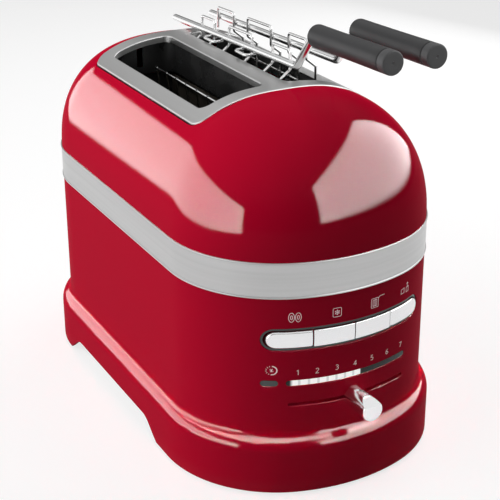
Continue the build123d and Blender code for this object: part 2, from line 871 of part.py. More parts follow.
def make_guards():
    # Wire grids that hinge at the bottom and hold the bread upright. The left pair is
    # stored closed on an empty slot, the right pair stands open around the clamp rack.
    span = slot_length - 8
    rail_z = guard_height
    for slot, side, label in guard_places():
        with BuildPart() as guard:
            with Locations((0, chamber_centre_y, rail_z)):
                Cylinder(guard_wire, span, rotation=(90, 0, 0))
            with Locations((0, chamber_centre_y, 0)):
                Cylinder(guard_pin, chamber_back_y - chamber_front_y + 10, rotation=(90, 0, 0))
            for n in range(guard_count):
                wire_y = chamber_centre_y + (n / (guard_count - 1) - 0.5) * (span - 4)
                with Locations((0, wire_y, (rail_z + 1.5) / 2)):
                    Cylinder(guard_wire, rail_z + 1.5)
            lever_y = chamber_front_y - chamber_sheet - 3
            with Locations((0, lever_y, -lever_length / 2)):
                Box(2.4, 1.6, lever_length)
        lean = guard_lean if slot < 0 else 0
        place = Pos(slot * slot_centre_x + side * guard_offset, 0, guard_pivot_z)
        save(place * Rot(0, -side * lean, 0) * guard.part, label)


# ---------------------------------------------------------------- lift


def make_carriage():
    with BuildPart() as bracket:
        with BuildSketch(front_plane(bracket_y)):
            with Locations((0, (bracket_bottom + bracket_top) / 2)):
                RectangleRounded(2 * bracket_half_width, bracket_top - bracket_bottom, 4)
        extrude(amount=-bracket_sheet)
        with BuildSketch(Plane.XY.offset(bracket_bottom + 2)):
            with Locations((-rod_x, rod_y), (rod_x, rod_y)):
                Circle(bush_radius)
            with Locations((0, (rod_y + bracket_y) / 2)):
                Rectangle(2 * rod_x, bracket_y - rod_y)
        extrude(amount=bracket_top - bracket_bottom - 4)
        with BuildSketch(Plane.XY.offset(bracket_bottom)):
            with Locations((-rod_x, rod_y), (rod_x, rod_y)):
                Circle(rod_radius + rod_clearance)
        extrude(amount=bracket_top - bracket_bottom, mode=Mode.SUBTRACT)
    save(bracket.part, "carriage_bracket")
    start_y = bracket_y + bracket_sheet
    end_y = chamber_back_y + chamber_sheet + 4
    for slot, label in ((-1, "left_cradle"), (1, "right_cradle")):
        with BuildPart() as cradle:
            with BuildSketch(Plane.YZ.offset(slot * slot_centre_x)):
                with Locations(((start_y + end_y) / 2, cradle_top - cradle_height / 2)):
                    Rectangle(end_y - start_y, cradle_height)
            extrude(amount=cradle_web / 2, both=True)
            for n in range(tine_count):
                tine_y = slot_front_y + 9 + n * (slot_length - 18) / (tine_count - 1)
                with Locations((slot * slot_centre_x, tine_y, cradle_top - 1)):
                    Box(2 * tine_half_width, 2, 2)
        save(cradle.part, label)
    with BuildPart() as rods:
        with BuildSketch(Plane.XY.offset(rod_bottom)):
            with Locations((-rod_x, rod_y), (rod_x, rod_y)):
                Circle(rod_radius)
        extrude(amount=rod_top - rod_bottom)
    save(rods.part, "guide_rods")


def involute_angle(pitch_r, radius):
    # Half of the tooth's angle lost between the pitch circle and this radius.
    base_r = pitch_r * cos(radians(pressure_angle))
    here = acos(min(1.0, base_r / radius))
    at_pitch = radians(pressure_angle)
    return (tan(here) - here) - (tan(at_pitch) - at_pitch)


def gear_outline(centre, teeth, module, first_tooth):
    pitch_r = module * teeth / 2
    tip_r = pitch_r + addendum * module
    root_r = pitch_r - dedendum * module
    base_r = max(pitch_r * cos(radians(pressure_angle)), root_r + 0.05)
    half = pi / (2 * teeth) - backlash / (4 * pitch_r)
    radii = [root_r] + [base_r + (tip_r - base_r) * n / 3 for n in range(4)]
    points = []
    for tooth in range(teeth):
        middle = radians(first_tooth) + 2 * pi * tooth / teeth
        rising = [(r, middle - half + involute_angle(pitch_r, max(r, base_r))) for r in radii]
        falling = [(r, middle + half - involute_angle(pitch_r, max(r, base_r))) for r in reversed(radii)]
        points += [(centre[0] + r * cos(a), centre[1] + r * sin(a)) for r, a in rising + falling]
    with BuildSketch() as outline:
        with BuildLine():
            Polyline(*points, close=True)
        make_face()
    return outline.sketch


def make_drive():
    pitch = pi * rack_module
    pitch_x = drive_x - rack_module * rack_gear_teeth / 2
    slope = tan(radians(pressure_angle))
    half = pitch / 4 - backlash / 4
    tip = addendum * rack_module
    root = dedendum * rack_module
    with BuildPart() as rack:
        with BuildSketch(front_plane(rack_layer_y)):
            low = drive_z - (rack_teeth - 0.5) * pitch
            high = drive_z + pitch + 1
            with Locations((pitch_x - root - rack_back / 2, (low + high) / 2)):
                Rectangle(rack_back, high - low)
            for n in range(rack_teeth):
                z = drive_z + (0.5 - n) * pitch
                with BuildLine():
                    Polyline(
                        (pitch_x - root - 0.5, z - half - (root + 0.5) * slope),
                        (pitch_x + tip, z - half + tip * slope),
                        (pitch_x + tip, z + half - tip * slope),
                        (pitch_x - root - 0.5, z + half + (root + 0.5) * slope),
                        close=True,
                    )
                make_face()
        extrude(amount=rack_layer_depth)
        # foot that joins the rack to the carriage bracket
        with BuildSketch(front_plane(bracket_y)):
            with Locations((pitch_x - root - rack_back / 2, (bracket_bottom + bracket_top) / 2)):
                Rectangle(rack_back, bracket_top - bracket_bottom)
        extrude(amount=bracket_y - rack_layer_y)
    save(rack.part, "lift_rack")
    with BuildPart() as drive_gear:
        with BuildSketch(front_plane(rack_layer_y)):
            add(gear_outline((drive_x, drive_z), rack_gear_teeth, rack_module, 180))
        extrude(amount=rack_layer_depth + 1)
        with BuildSketch(front_plane(wheel_layer_y)):
            add(gear_outline((drive_x, drive_z), wheel_teeth, wheel_module, 90))
        extrude(amount=wheel_layer_depth)
        with BuildSketch(front_plane(rack_layer_y)):
            with Locations((drive_x, drive_z)):
                Circle(shaft_radius + rod_clearance)
        extrude(amount=rack_layer_depth + wheel_layer_depth + 2, mode=Mode.SUBTRACT)
    save(drive_gear.part, "drive_gear")
    with BuildPart() as motor_pinion:
        with BuildSketch(front_plane(wheel_layer_y)):
            add(gear_outline((drive_x, wheel_centre_z), motor_teeth, wheel_module, -90 + 180 / motor_teeth))
            with Locations((drive_x, wheel_centre_z)):
                Circle(1.5 + rod_clearance, mode=Mode.SUBTRACT)
        extrude(amount=wheel_layer_depth)
    save(motor_pinion.part, "motor_pinion")
    standoffs = [(62, 82), (62, 148), (16, 168)]
    with BuildPart() as gear_plate:
        with BuildSketch(front_plane(gear_plate_y)):
            with BuildLine():
                Polyline(
                    (drive_x, 76),
                    (68, 76),
                    (68, 154),
                    (24, 174),
                    (10, 174),
                    (10, 160),
                    (drive_x - 14, 120),
                    close=True,
                )
            make_face()
            with Locations((drive_x, wheel_centre_z)):
                Circle(4, mode=Mode.SUBTRACT)
        extrude(amount=gear_plate_sheet)
        with BuildSketch(front_plane(chamber_front_y - chamber_sheet)):
            with Locations(*standoffs):
                Circle(3)
        extrude(amount=chamber_front_y - chamber_sheet - gear_plate_y)
        with BuildSketch(front_plane(rack_layer_y + 1)):
            with Locations((drive_x, drive_z)):
                Circle(shaft_radius)
        extrude(amount=rack_layer_y + 1 - gear_plate_y)
    save(gear_plate.part, "gear_plate")
    with BuildPart() as motor:
        with BuildSketch(front_plane(gear_plate_y - gear_plate_sheet)):
            with Locations((drive_x, wheel_centre_z)):
                Circle(motor_radius)
        extrude(amount=motor_length)
        fillet(edges().group_by(Axis.Y)[0], 1.5)
        with BuildSketch(front_plane(wheel_layer_y + 1)):
            with Locations((drive_x, wheel_centre_z)):
                Circle(1.5)
        extrude(amount=wheel_layer_y + 1 - gear_plate_y + gear_plate_sheet)
    save(motor.part, "lift_motor")


# ---------------------------------------------------------------- clamp rack


def clamp_rod_z(y):
    rise = (clamp_rod_front_z - clamp_rod_back_z) / (clamp_rod_back_y - clamp_rod_front_y)
    return clamp_rod_back_z + (clamp_rod_back_y - y) * rise


def wire(points, radius, bend=1.0):
    # A round wire swept along a polyline with rounded corners.
    with BuildPart() as bent:
        with BuildLine() as path:
            if len(points) > 2:
                FilletPolyline(*points, radius=bend)
            else:
                Line(*points)
        with BuildSketch(Plane(origin=path.line @ 0, z_dir=path.line % 0)):
            Circle(radius)
        sweep()
    return bent.part


def clamp_leg(side, y, foot_offset):
    # From just above the hinge, up the slot wall and under the rod to its inner side.
    rod_z = clamp_rod_z(y)
    centre = slot_centre_x
    neck = clamp_rod_offset - clamp_rod_radius - clamp_wire + 0.3
    offsets = (
        (foot_offset, clamp_hinge_z + 1.0),
        (clamp_wall_offset, clamp_knee_z),
        (clamp_wall_offset, rod_z - clamp_bend_drop),
        (neck, rod_z - clamp_neck_drop),
        (neck, rod_z + clamp_loop_rise),
    )
    return [(centre + side * u, y, z) for u, z in offsets]


def make_clamp_half(side, loops, name):
    centre = slot_centre_x
    rod_x_here = centre + side * clamp_rod_offset
    foot_offset = 2.2 if side < 0 else clamp_eye_radius - 0.6
    with BuildPart() as rod:
        rod_path = [
            (rod_x_here, clamp_rod_back_y, clamp_rod_back_z),
            (rod_x_here, clamp_rod_front_y, clamp_rod_front_z),
            (rod_x_here, clamp_rise_y, clamp_rise_z),
            (rod_x_here, grip_start_y - 14, grip_start_z + 0.5),
        ]
        add(wire(rod_path, clamp_rod_radius, 5))
        if side < 0:
            # small loops that rest just over the bridge between the slots
            for rest_y in (0, 48):
                rest_z = clamp_rod_z(rest_y) - clamp_rod_radius - 0.4
                reach = rod_x_here - 7.2
                loop = [
                    (rod_x_here, rest_y - 8, rest_z),
                    (reach, rest_y - 8, rest_z),
                    (reach, rest_y + 8, rest_z),
                    (rod_x_here, rest_y + 8, rest_z),
                ]
                add(wire(loop, clamp_wire, 3))
    save(rod.part, f"rack_{name}_rod")
    with BuildPart() as grid:
        for back, front in loops:
            rear = clamp_leg(side, back, foot_offset)
            if back > slot_back_y:
                # this leg stops above the slot plate
                rear = [(rear[4][0], back, short_leg_z), rear[4]]
            lead = clamp_leg(side, front, foot_offset)
            add(wire(rear + lead[::-1], clamp_wire, 1.8))
            if side > 0:
                for y in (back, front):
                    if y < slot_back_y:
                        with Locations((centre, y, clamp_hinge_z)):
                            Cylinder(clamp_eye_radius, 2.4, rotation=(90, 0, 0))
        # rails that tie the legs together
        low_y = min(min(pair) for pair in loops) - 3
        high_y = max(y for pair in loops for y in pair if y < slot_back_y) + 1
        for z in (clamp_knee_z + 8, 160, 206):
            rail_x = centre + side * (clamp_wall_offset - 2 * clamp_wire + 0.3)
            add(wire([(rail_x, low_y, z), (rail_x, high_y, z)], clamp_wire))
        if side > 0:
            with Locations((centre, 0, clamp_hinge_z)):
                bore_radius = clamp_hinge_radius + rod_clearance
                Cylinder(bore_radius, 2 * slot_length, rotation=(90, 0, 0), mode=Mode.SUBTRACT)
        add(rod.part, mode=Mode.SUBTRACT)
    save(grid.part, f"rack_{name}_grid")
    run_y = grip_end_y - grip_start_y
    run_z = grip_end_z - grip_start_z
    length = sqrt(run_y**2 + run_z**2)
    along = Plane(origin=(rod_x_here, grip_start_y, grip_start_z), x_dir=(1, 0, 0), z_dir=(0, run_y, run_z))
    with BuildPart() as grip:
        with BuildSketch(along):
            Circle(grip_radius)
        extrude(amount=length - grip_cap_length - grip_cap_seam)
        fillet(edges().group_by(Axis.Y)[-1], 2.5)
        add(rod.part, mode=Mode.SUBTRACT)
    save(grip.part, f"rack_{name}_grip")
    with BuildPart() as cap:
        with BuildSketch(along.offset(length - grip_cap_length)):
            Circle(grip_radius)
        extrude(amount=grip_cap_length)
        fillet(edges().group_by(Axis.Y)[0], 1.2)
        with BuildSketch(along.offset(length)):
            Circle(0.9)
        extrude(amount=-1.2, mode=Mode.SUBTRACT)
        with BuildSketch(along.offset(length - grip_cap_length - grip_cap_seam - 4)):
            Circle(grip_radius - 2.5)
        extrude(amount=grip_cap_seam + 5)
        add(grip.part, mode=Mode.SUBTRACT)
    save(cap.part, f"rack_{name}_cap")


def make_clamp_pin():
    ends = (max(left_loops[0]) + 1.2, min(left_loops[-1]) - 2)
    with BuildPart() as pin:
        with Locations((slot_centre_x, sum(ends) / 2, clamp_hinge_z)):
            Cylinder(clamp_hinge_radius, ends[0] - ends[1], rotation=(90, 0, 0))
    save(pin.part, "rack_hinge_pin")


os.makedirs("parts", exist_ok=True)
make_lower_housing()
make_trim_band()
make_top_shell()
make_slot_plate()
make_throats()
make_bezel()
for number, button_name in enumerate(("bagel_button", "frozen_button", "sandwich_button", "lift_button")):
    make_button(number, button_name)
make_switches()
make_lens(0, light_bar_half_length, light_bar_height, "light_bar_lens")
make_lens(timer_lens_x, timer_lens_length / 2, timer_lens_height, "timer_lens")
make_light_pipes()
make_slider()
make_boards()
make_gland()
make_underside()
make_crumb_tray()
make_chamber_plates()
make_shields()
make_heaters()
make_guards()
make_carriage()
make_drive()
make_clamp_half(-1, left_loops, "left")
make_clamp_half(1, right_loops, "right")
make_clamp_pin()
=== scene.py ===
import bmesh
import bpy
import json
import math
from mathutils import Matrix, Vector
from mathutils.geometry import delaunay_2d_cdt


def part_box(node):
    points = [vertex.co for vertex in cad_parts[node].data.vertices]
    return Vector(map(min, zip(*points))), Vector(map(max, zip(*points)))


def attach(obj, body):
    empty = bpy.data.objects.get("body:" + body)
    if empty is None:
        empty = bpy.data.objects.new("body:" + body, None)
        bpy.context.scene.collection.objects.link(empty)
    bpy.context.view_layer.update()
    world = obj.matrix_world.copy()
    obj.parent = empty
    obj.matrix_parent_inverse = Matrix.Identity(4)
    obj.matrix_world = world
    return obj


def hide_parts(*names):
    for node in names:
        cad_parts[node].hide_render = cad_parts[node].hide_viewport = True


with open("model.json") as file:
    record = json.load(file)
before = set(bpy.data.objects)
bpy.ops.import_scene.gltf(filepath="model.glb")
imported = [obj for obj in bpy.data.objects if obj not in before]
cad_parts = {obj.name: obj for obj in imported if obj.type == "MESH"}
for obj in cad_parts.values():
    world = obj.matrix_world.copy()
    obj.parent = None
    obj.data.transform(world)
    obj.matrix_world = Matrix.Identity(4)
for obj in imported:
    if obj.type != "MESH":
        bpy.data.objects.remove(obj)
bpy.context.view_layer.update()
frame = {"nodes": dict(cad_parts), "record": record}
cadNodes = frame["nodes"]
mm = 0.001


def nodeBox(name):
    low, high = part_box(name)
    return low / mm, high / mm


shellLow, shellHigh = nodeBox("top_shell")
bandLow, bandHigh = nodeBox("trim_band")
baseLow, baseHigh = nodeBox("lower_housing")
plateLow, plateHigh = nodeBox("slot_plate")

body = {
    "halfWidth": shellHigh.x,
    "halfLength": shellHigh.y,
    "cornerRadius": 74.0,
    "endRadius": 114.5,
    "ridge": 69.4,          # the dome's ridge runs this far each way from the middle
    "domePower": 2.7,
    "domeRoot": 2.2,
    "bandBottom": bandLow.z,
    "bandTop": bandHigh.z,
    "top": shellHigh.z,
    "stationGap": 2.4,
}

cornerX = body["halfWidth"] - body["cornerRadius"]
endAngle = math.asin(cornerX / (body["endRadius"] - body["cornerRadius"]))
endY = body["halfLength"] - body["endRadius"]
cornerY = endY + (body["endRadius"] - body["cornerRadius"]) * math.cos(endAngle)
frontArc = body["endRadius"] * endAngle
cornerArc = body["cornerRadius"] * (math.pi / 2 - endAngle)
quarter = frontArc + cornerArc + cornerY       # a quarter of the way round the body


# Shapes that several pieces share.

def planAt(run, grow=0.0, level=1.0):
    # A point and its outward direction, at a distance round the body from the middle of the front.
    side = 1 if run >= 0 else -1
    run = abs(run)
    rear = run > quarter
    if rear:
        run = 2 * quarter - run
    flip = 1 if rear else -1
    ridge = body["ridge"]
    if run <= frontArc:
        turn = run / body["endRadius"]
        radius = (body["endRadius"] + grow) * level
        x = radius * math.sin(turn)
        y = ridge + (endY - ridge) * level + radius * math.cos(turn)
    elif run <= frontArc + cornerArc:
        turn = endAngle + (run - frontArc) / body["cornerRadius"]
        radius = (body["cornerRadius"] + grow) * level
        x = cornerX * level + radius * math.sin(turn)
        y = ridge + (cornerY - ridge) * level + radius * math.cos(turn)
    else:
        turn = math.pi / 2
        share = (run - frontArc - cornerArc) / cornerY
        x = (body["halfWidth"] + grow) * level
        y = (ridge + (cornerY - ridge) * level) * (1 - share)
    return side * x, flip * y, side * math.sin(turn), flip * math.cos(turn)


def runAtX(x):
    # How far round the front a given x is.
    reach = abs(x)
    if reach <= body["endRadius"] * math.sin(endAngle):
        run = body["endRadius"] * math.asin(reach / body["endRadius"])
    else:
        turn = math.asin((reach - cornerX) / body["cornerRadius"])
        run = frontArc + body["cornerRadius"] * (turn - endAngle)
    return math.copysign(run, x)


def frontY(x, grow):
    reach = abs(x)
    radius = body["endRadius"] + grow
    if reach <= radius * math.sin(endAngle):
        return -(endY + math.sqrt(radius ** 2 - reach ** 2))
    radius = body["cornerRadius"] + grow
    return -(cornerY + math.sqrt(radius ** 2 - (reach - cornerX) ** 2))


def domeRise(level):
    rise = body["top"] - body["bandTop"]
    return rise * (1 - min(level, 1.0) ** body["domePower"]) ** (1 / body["domeRoot"])


def plateZ(x):
    return body["bandTop"] + domeRise(abs(x) / body["halfWidth"])


def stations():
    count = 2 * int(2 * quarter / body["stationGap"] / 2 + 1)
    return [-2 * quarter + 4 * quarter * n / count for n in range(count)]


def makeMesh(name, points, faces, normals=None):
    mesh = bpy.data.meshes.new(name)
    mesh.from_pydata([Vector(p) * mm for p in points], [], faces)
    mesh.polygons.foreach_set("use_smooth", [True] * len(mesh.polygons))
    mesh.update()
    if normals:
        mesh.normals_split_custom_set_from_vertices([Vector(n).normalized() for n in normals])
    piece = bpy.data.objects.new(name, mesh)
    bpy.context.scene.collection.objects.link(piece)
    return piece


def finishPiece(piece, rides, material, standsFor=()):
    piece.data.materials.append(material)
    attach(piece, rides)
    if standsFor:
        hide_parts(*standsFor)
    return piece


def sweepRound(rows, runs):
    # rows hold (grow, z, outward, upward) and are swept round the body, closing on themselves.
    points, normals, faces = [], [], []
    for run in runs:
        for row in rows:
            grow, z, outward, upward = row(run) if callable(row) else row
            x, y, nx, ny = planAt(run, grow)
            points.append((x, y, z))
            normals.append((nx * outward, ny * outward, upward))
    count = len(rows)
    for n in range(len(runs)):
        here, there = n * count, (n + 1) % len(runs) * count
        for k in range(count - 1):
            faces.append((here + k, there + k, there + k + 1, here + k + 1))
    return points, faces, normals


def roundedRow(grow, z, radius, startTurn, endTurn, steps=5):
    # Rows round a small circle whose middle is (grow, z). Turns are degrees from outward to upward.
    rows = []
    for n in range(steps + 1):
        turn = math.radians(startTurn + (endTurn - startTurn) * n / steps)
        rows.append((grow + radius * math.cos(turn), z + radius * math.sin(turn), math.cos(turn),
            math.sin(turn)))
    return rows


def splitEdge(start, end, gap):
    count = max(1, math.ceil(math.dist(start, end) / gap))
    return [(start[0] + (end[0] - start[0]) * n / count, start[1] + (end[1] - start[1]) * n / count)
        for n in range(count)]


def roundedOutline(centre, halfSize, radius, gap=3.0, steps=8):
    # A rectangle with round corners, anticlockwise.
    cx, cy = centre
    hx, hy = halfSize
    corners = []
    for quarterTurn, (sx, sy) in enumerate(((1, -1), (1, 1), (-1, 1), (-1, -1))):
        for n in range(steps + 1):
            turn = math.radians(-90 + 90 * quarterTurn + 90 * n / steps)
            corners.append((cx + sx * (hx - radius) + radius * math.cos(turn),
                cy + sy * (hy - radius) + radius * math.sin(turn)))
    loop = []
    for n, point in enumerate(corners):
        after = corners[(n + 1) % len(corners)]
        if math.dist(point, after) > 1e-6:
            loop += splitEdge(point, after, gap)
    return loop


def stadium(x, z, halfLength, halfHeight, steps=8):
    return roundedOutline((x, z), (halfLength, halfHeight), halfHeight, steps=steps)


def outwardSides(loop, away=1):
    sides = []
    for n in range(len(loop)):
        before, after = loop[n - 1], loop[(n + 1) % len(loop)]
        dx, dy = after[0] - before[0], after[1] - before[1]
        size = math.hypot(dx, dy)
        sides.append((away * dy / size, -away * dx / size))
    return sides


def inside(x, y, loop):
    found = False
    for n in range(len(loop)):
        (ax, ay), (bx, by) = loop[n - 1], loop[n]
        if (ay > y) != (by > y) and x < (bx - ax) * (y - ay) / (by - ay) + ax:
            found = not found
    return found


def loopBox(loop):
    return (min(p[0] for p in loop), min(p[1] for p in loop), max(p[0] for p in loop),
        max(p[1] for p in loop))


def keeps(x, y, outer, holes):
    if not inside(x, y, outer):
        return False
    for hole, box in holes:
        if box[0] < x < box[2] and box[1] < y < box[3] and inside(x, y, hole):
            return False
    return True


def fillOutline(outer, holes, gap):
    # Small triangles inside an outline, clear of its holes.
    boxed = [(hole, loopBox(hole)) for hole in holes]
    points, edges = [], []
    for loop in [outer] + holes:
        first = len(points)
        points += loop
        edges += [(first + n, first + (n + 1) % len(loop)) for n in range(len(loop))]
    rim = list(points)
    low = loopBox(outer)
    gapX, gapY = gap
    countX = max(1, round((low[2] - low[0]) / gapX))
    countY = max(1, round((low[3] - low[1]) / gapY))
    cells = {}
    for px, py in rim:
        cells.setdefault((int(px // gapX), int(py // gapY)), []).append((px, py))
    for i in range(1, countX):
        for j in range(1, countY):
            x = low[0] + (low[2] - low[0]) * i / countX
            y = low[1] + (low[3] - low[1]) * j / countY
            near = [p for a in (-1, 0, 1) for b in (-1, 0, 1)
                for p in cells.get((int(x // gapX) + a, int(y // gapY) + b), ())]
            if all(math.dist((x, y), p) > 0.45 * min(gapX, gapY) for p in near) and keeps(x, y, outer, boxed):
                points.append((x, y))
    made = delaunay_2d_cdt([Vector(p) for p in points], edges, [], 0, 1e-4)
    corners = [tuple(p) for p in made[0]]
    faces = []
    for face in made[2]:
        cx = sum(corners[k][0] for k in face) / len(face)
        cy = sum(corners[k][1] for k in face) / len(face)
        if keeps(cx, cy, outer, boxed):
            faces.append(tuple(face))
    return corners, faces


def frameAt(place, u, v, depth):
    step = 0.05
    across = Vector(place(u + step, v, depth)) - Vector(place(u - step, v, depth))
    along = Vector(place(u, v + step, depth)) - Vector(place(u, v - step, depth))
    return across.normalized(), along.normalized(), across.cross(along).normalized()


def sheet(outer, holes, place, gap, radius, depth, holeDepth=None, steps=4, openEdge=False):
    # A skin laid on a surface, with its edges rolled over and turned down.
    def rolled(loop, away):
        return [(u - radius * a, v - radius * b) for (u, v), (a, b) in zip(loop, outwardSides(loop, away))]

    topOuter = outer if openEdge else rolled(outer, 1)
    corners, faces = fillOutline(topOuter, [rolled(hole, -1) for hole in holes], gap)
    points = [place(u, v, 0) for u, v in corners]
    normals = [frameAt(place, u, v, 0)[2] for u, v in corners]
    edges = [] if openEdge else [(outer, 1, depth)]
    edges += [(hole, -1, holeDepth or depth) for hole in holes]
    for loop, away, drop in edges:
        first = len(points)
        sides = outwardSides(loop, away)
        turns = [math.pi / 2 * n / steps for n in range(steps + 1)]
        rows = [(radius * math.sin(t) - radius, radius * (1 - math.cos(t)), t)
            for t in turns] + [(0.0, drop, math.pi / 2)]
        for (u, v), (a, b) in zip(loop, sides):
            across, along, up = frameAt(place, u, v, 0)
            outward = (across * a + along * b).normalized()
            for shift, down, turn in rows:
                points.append(place(u + shift * a, v + shift * b, down))
                normals.append(up * math.cos(turn) + outward * math.sin(turn))
        count, size = len(rows), len(loop)
        for n in range(size):
            here, there = first + n * count, first + (n + 1) % size * count
            for k in range(count - 1):
                face = (here + k, here + k + 1, there + k + 1, there + k)
                faces.append(face if away > 0 else face[::-1])
    return points, faces, normals


def onFront(grow):
    return lambda x, z, depth: (x, frontY(x, grow - depth), z)


def lathe(name, profile, start, direction, segments=56):
    # profile holds (distance along, radius) and is turned round the direction.
    along = Vector(direction).normalized()
    side = along.cross(Vector((0, 0, 1))).normalized()
    up = side.cross(along)
    points, faces = [], []
    for distance, radius in profile:
        for n in range(segments):
            turn = 2 * math.pi * n / segments
            points.append(Vector(start) + along * distance + side * radius * math.cos(turn) + up * radius
                * math.sin(turn))
    for k in range(len(profile) - 1):
        for n in range(segments):
            after = (n + 1) % segments
            faces.append((k * segments + n, k * segments + after, (k + 1) * segments + after,
                (k + 1) * segments + n))
    faces.append(tuple(range(segments)))
    faces.append(tuple((len(profile) - 1) * segments + n for n in reversed(range(segments))))
    piece = makeMesh(name, points, faces)
    piece.data.set_sharp_from_angle(angle=math.radians(38))
    return piece


# Effects that several finishes use.

def newGroup(name, inputs, outputs):
    group = bpy.data.node_groups.new(name, "ShaderNodeTree")
    for label, value in inputs:
        socket = group.interface.new_socket(label, in_out="INPUT", socket_type="NodeSocketFloat")
        socket.default_value = value
    for label in outputs:
        group.interface.new_socket(label, in_out="OUTPUT", socket_type="NodeSocketFloat")
    nodes = group.nodes
    return group, nodes.new("NodeGroupInput"), nodes.new("NodeGroupOutput")


def objectNoise(group, scaleSocket, detail, stretch=(1, 1, 1)):
    nodes, links = group.nodes, group.links
    place = nodes.new("ShaderNodeTexCoord")
    mapping = nodes.new("ShaderNodeMapping")
    mapping.inputs["Scale"].default_value = stretch
    noise = nodes.new("ShaderNodeTexNoise")
    noise.inputs["Detail"].default_value = detail
    links.new(place.outputs["Object"], mapping.inputs["Vector"])
    links.new(mapping.outputs["Vector"], noise.inputs["Vector"])
    links.new(scaleSocket, noise.inputs["Scale"])
    return noise.outputs["Fac"]


def mathNode(group, operation, first, second):
    node = group.nodes.new("ShaderNodeMath")
    node.operation = operation
    for socket, value in zip(node.inputs, (first, second)):
        if isinstance(value, (int, float)):
            socket.default_value = value
        else:
            group.links.new(value, socket)
    return node.outputs[0]


def spread(group, value, low, high):
    node = group.nodes.new("ShaderNodeMapRange")
    node.interpolation_type = "SMOOTHSTEP"
    node.inputs["From Min"].default_value = low
    node.inputs["From Max"].default_value = high
    group.links.new(value, node.inputs["Value"])
    return node.outputs["Result"]


def makeSurfaceGroup():
    # Fine grain for bump and small colour change, and large patches of handling marks.
    group, entry, leave = newGroup("surfaceGrain", (("Grain Scale", 900.0), ("Patch Scale", 14.0)),
        ("Grain", "Patch"))
    grain = objectNoise(group, entry.outputs["Grain Scale"], 4)
    patch = objectNoise(group, entry.outputs["Patch Scale"], 6)
    group.links.new(grain, leave.inputs["Grain"])
    group.links.new(spread(group, patch, 0.4, 0.68), leave.inputs["Patch"])
    return group


def makeBrushGroup(name, stretch):
    # Long parallel brush lines, and faint wider bands among them.
    group, entry, leave = newGroup(name, (("Line Scale", 1.0),), ("Lines", "Bands"))
    lines = objectNoise(group, entry.outputs["Line Scale"], 3, tuple(2600 if s else 9 for s in stretch))
    bands = objectNoise(group, entry.outputs["Line Scale"], 2, tuple(420 if s else 5 for s in stretch))
    group.links.new(lines, leave.inputs["Lines"])
    group.links.new(bands, leave.inputs["Bands"])
    return group


def makeDustGroup():
    # Settled dust and scuffs, more of them towards the table.
    group, entry, leave = newGroup("lowDust", (("Height", 0.03), ("Dust Scale", 60.0)), ("Dust",))
    place = group.nodes.new("ShaderNodeTexCoord")
    split = group.nodes.new("ShaderNodeSeparateXYZ")
    group.links.new(place.outputs["Object"], split.inputs[0])
    above = mathNode(group, "DIVIDE", split.outputs["Z"], entry.outputs["Height"])
    fade = mathNode(group, "SUBTRACT", 1.0, above)
    fade = mathNode(group, "MAXIMUM", fade, 0.0)
    noise = objectNoise(group, entry.outputs["Dust Scale"], 5)
    group.links.new(mathNode(group, "MULTIPLY", fade, noise), leave.inputs["Dust"])
    return group


surfaceGroup = makeSurfaceGroup()
brushLevel = makeBrushGroup("brushedRound", (0, 0, 1))      # lines run level round the body
brushLong = makeBrushGroup("brushedLong", (1, 0, 1))        # lines run from front to back
dustGroup = makeDustGroup()


def tint(colour, factor):
    return tuple(min(1.0, c * factor) for c in colour[:3]) + (1.0,)


def mixColour(tree, factor, first, second):
    node = tree.nodes.new("ShaderNodeMix")
    node.data_type = "RGBA"
    tree.links.new(factor, node.inputs["Factor"])
    for socket, value in ((node.inputs[6], first), (node.inputs[7], second)):
        if isinstance(value, tuple):
            socket.default_value = value
        else:
            tree.links.new(value, socket)
    return node.outputs[2]


def rangeNode(tree, value, low, high):
    node = tree.nodes.new("ShaderNodeMapRange")
    node.inputs["To Min"].default_value = low
    node.inputs["To Max"].default_value = high
    tree.links.new(value, node.inputs["Value"])
    return node.outputs["Result"]


def addGroup(tree, group, **values):
    node = tree.nodes.new("ShaderNodeGroup")
    node.node_tree = group
    for label, value in values.items():
        node.inputs[label.replace("_", " ")].default_value = value
    return node


finishDefaults = {
    "colour": (0.5, 0.5, 0.5), "grainShift": 0.9, "patchShift": 0.93, "metallic": 0.0, "rough": (0.3, 0.4),
    "grainScale": 900.0, "patchScale": 14.0, "bump": 0.05, "bumpDepth": 0.00005, "brush": None,
    "lineShift": 0.86,
    "dust": 0.0, "dustHeight": 0.03, "dustColour": (0.42, 0.4, 0.37), "coat": 0.0, "coatRough": 0.05,
    "specular": 0.5,
    "fromShader": {},
}


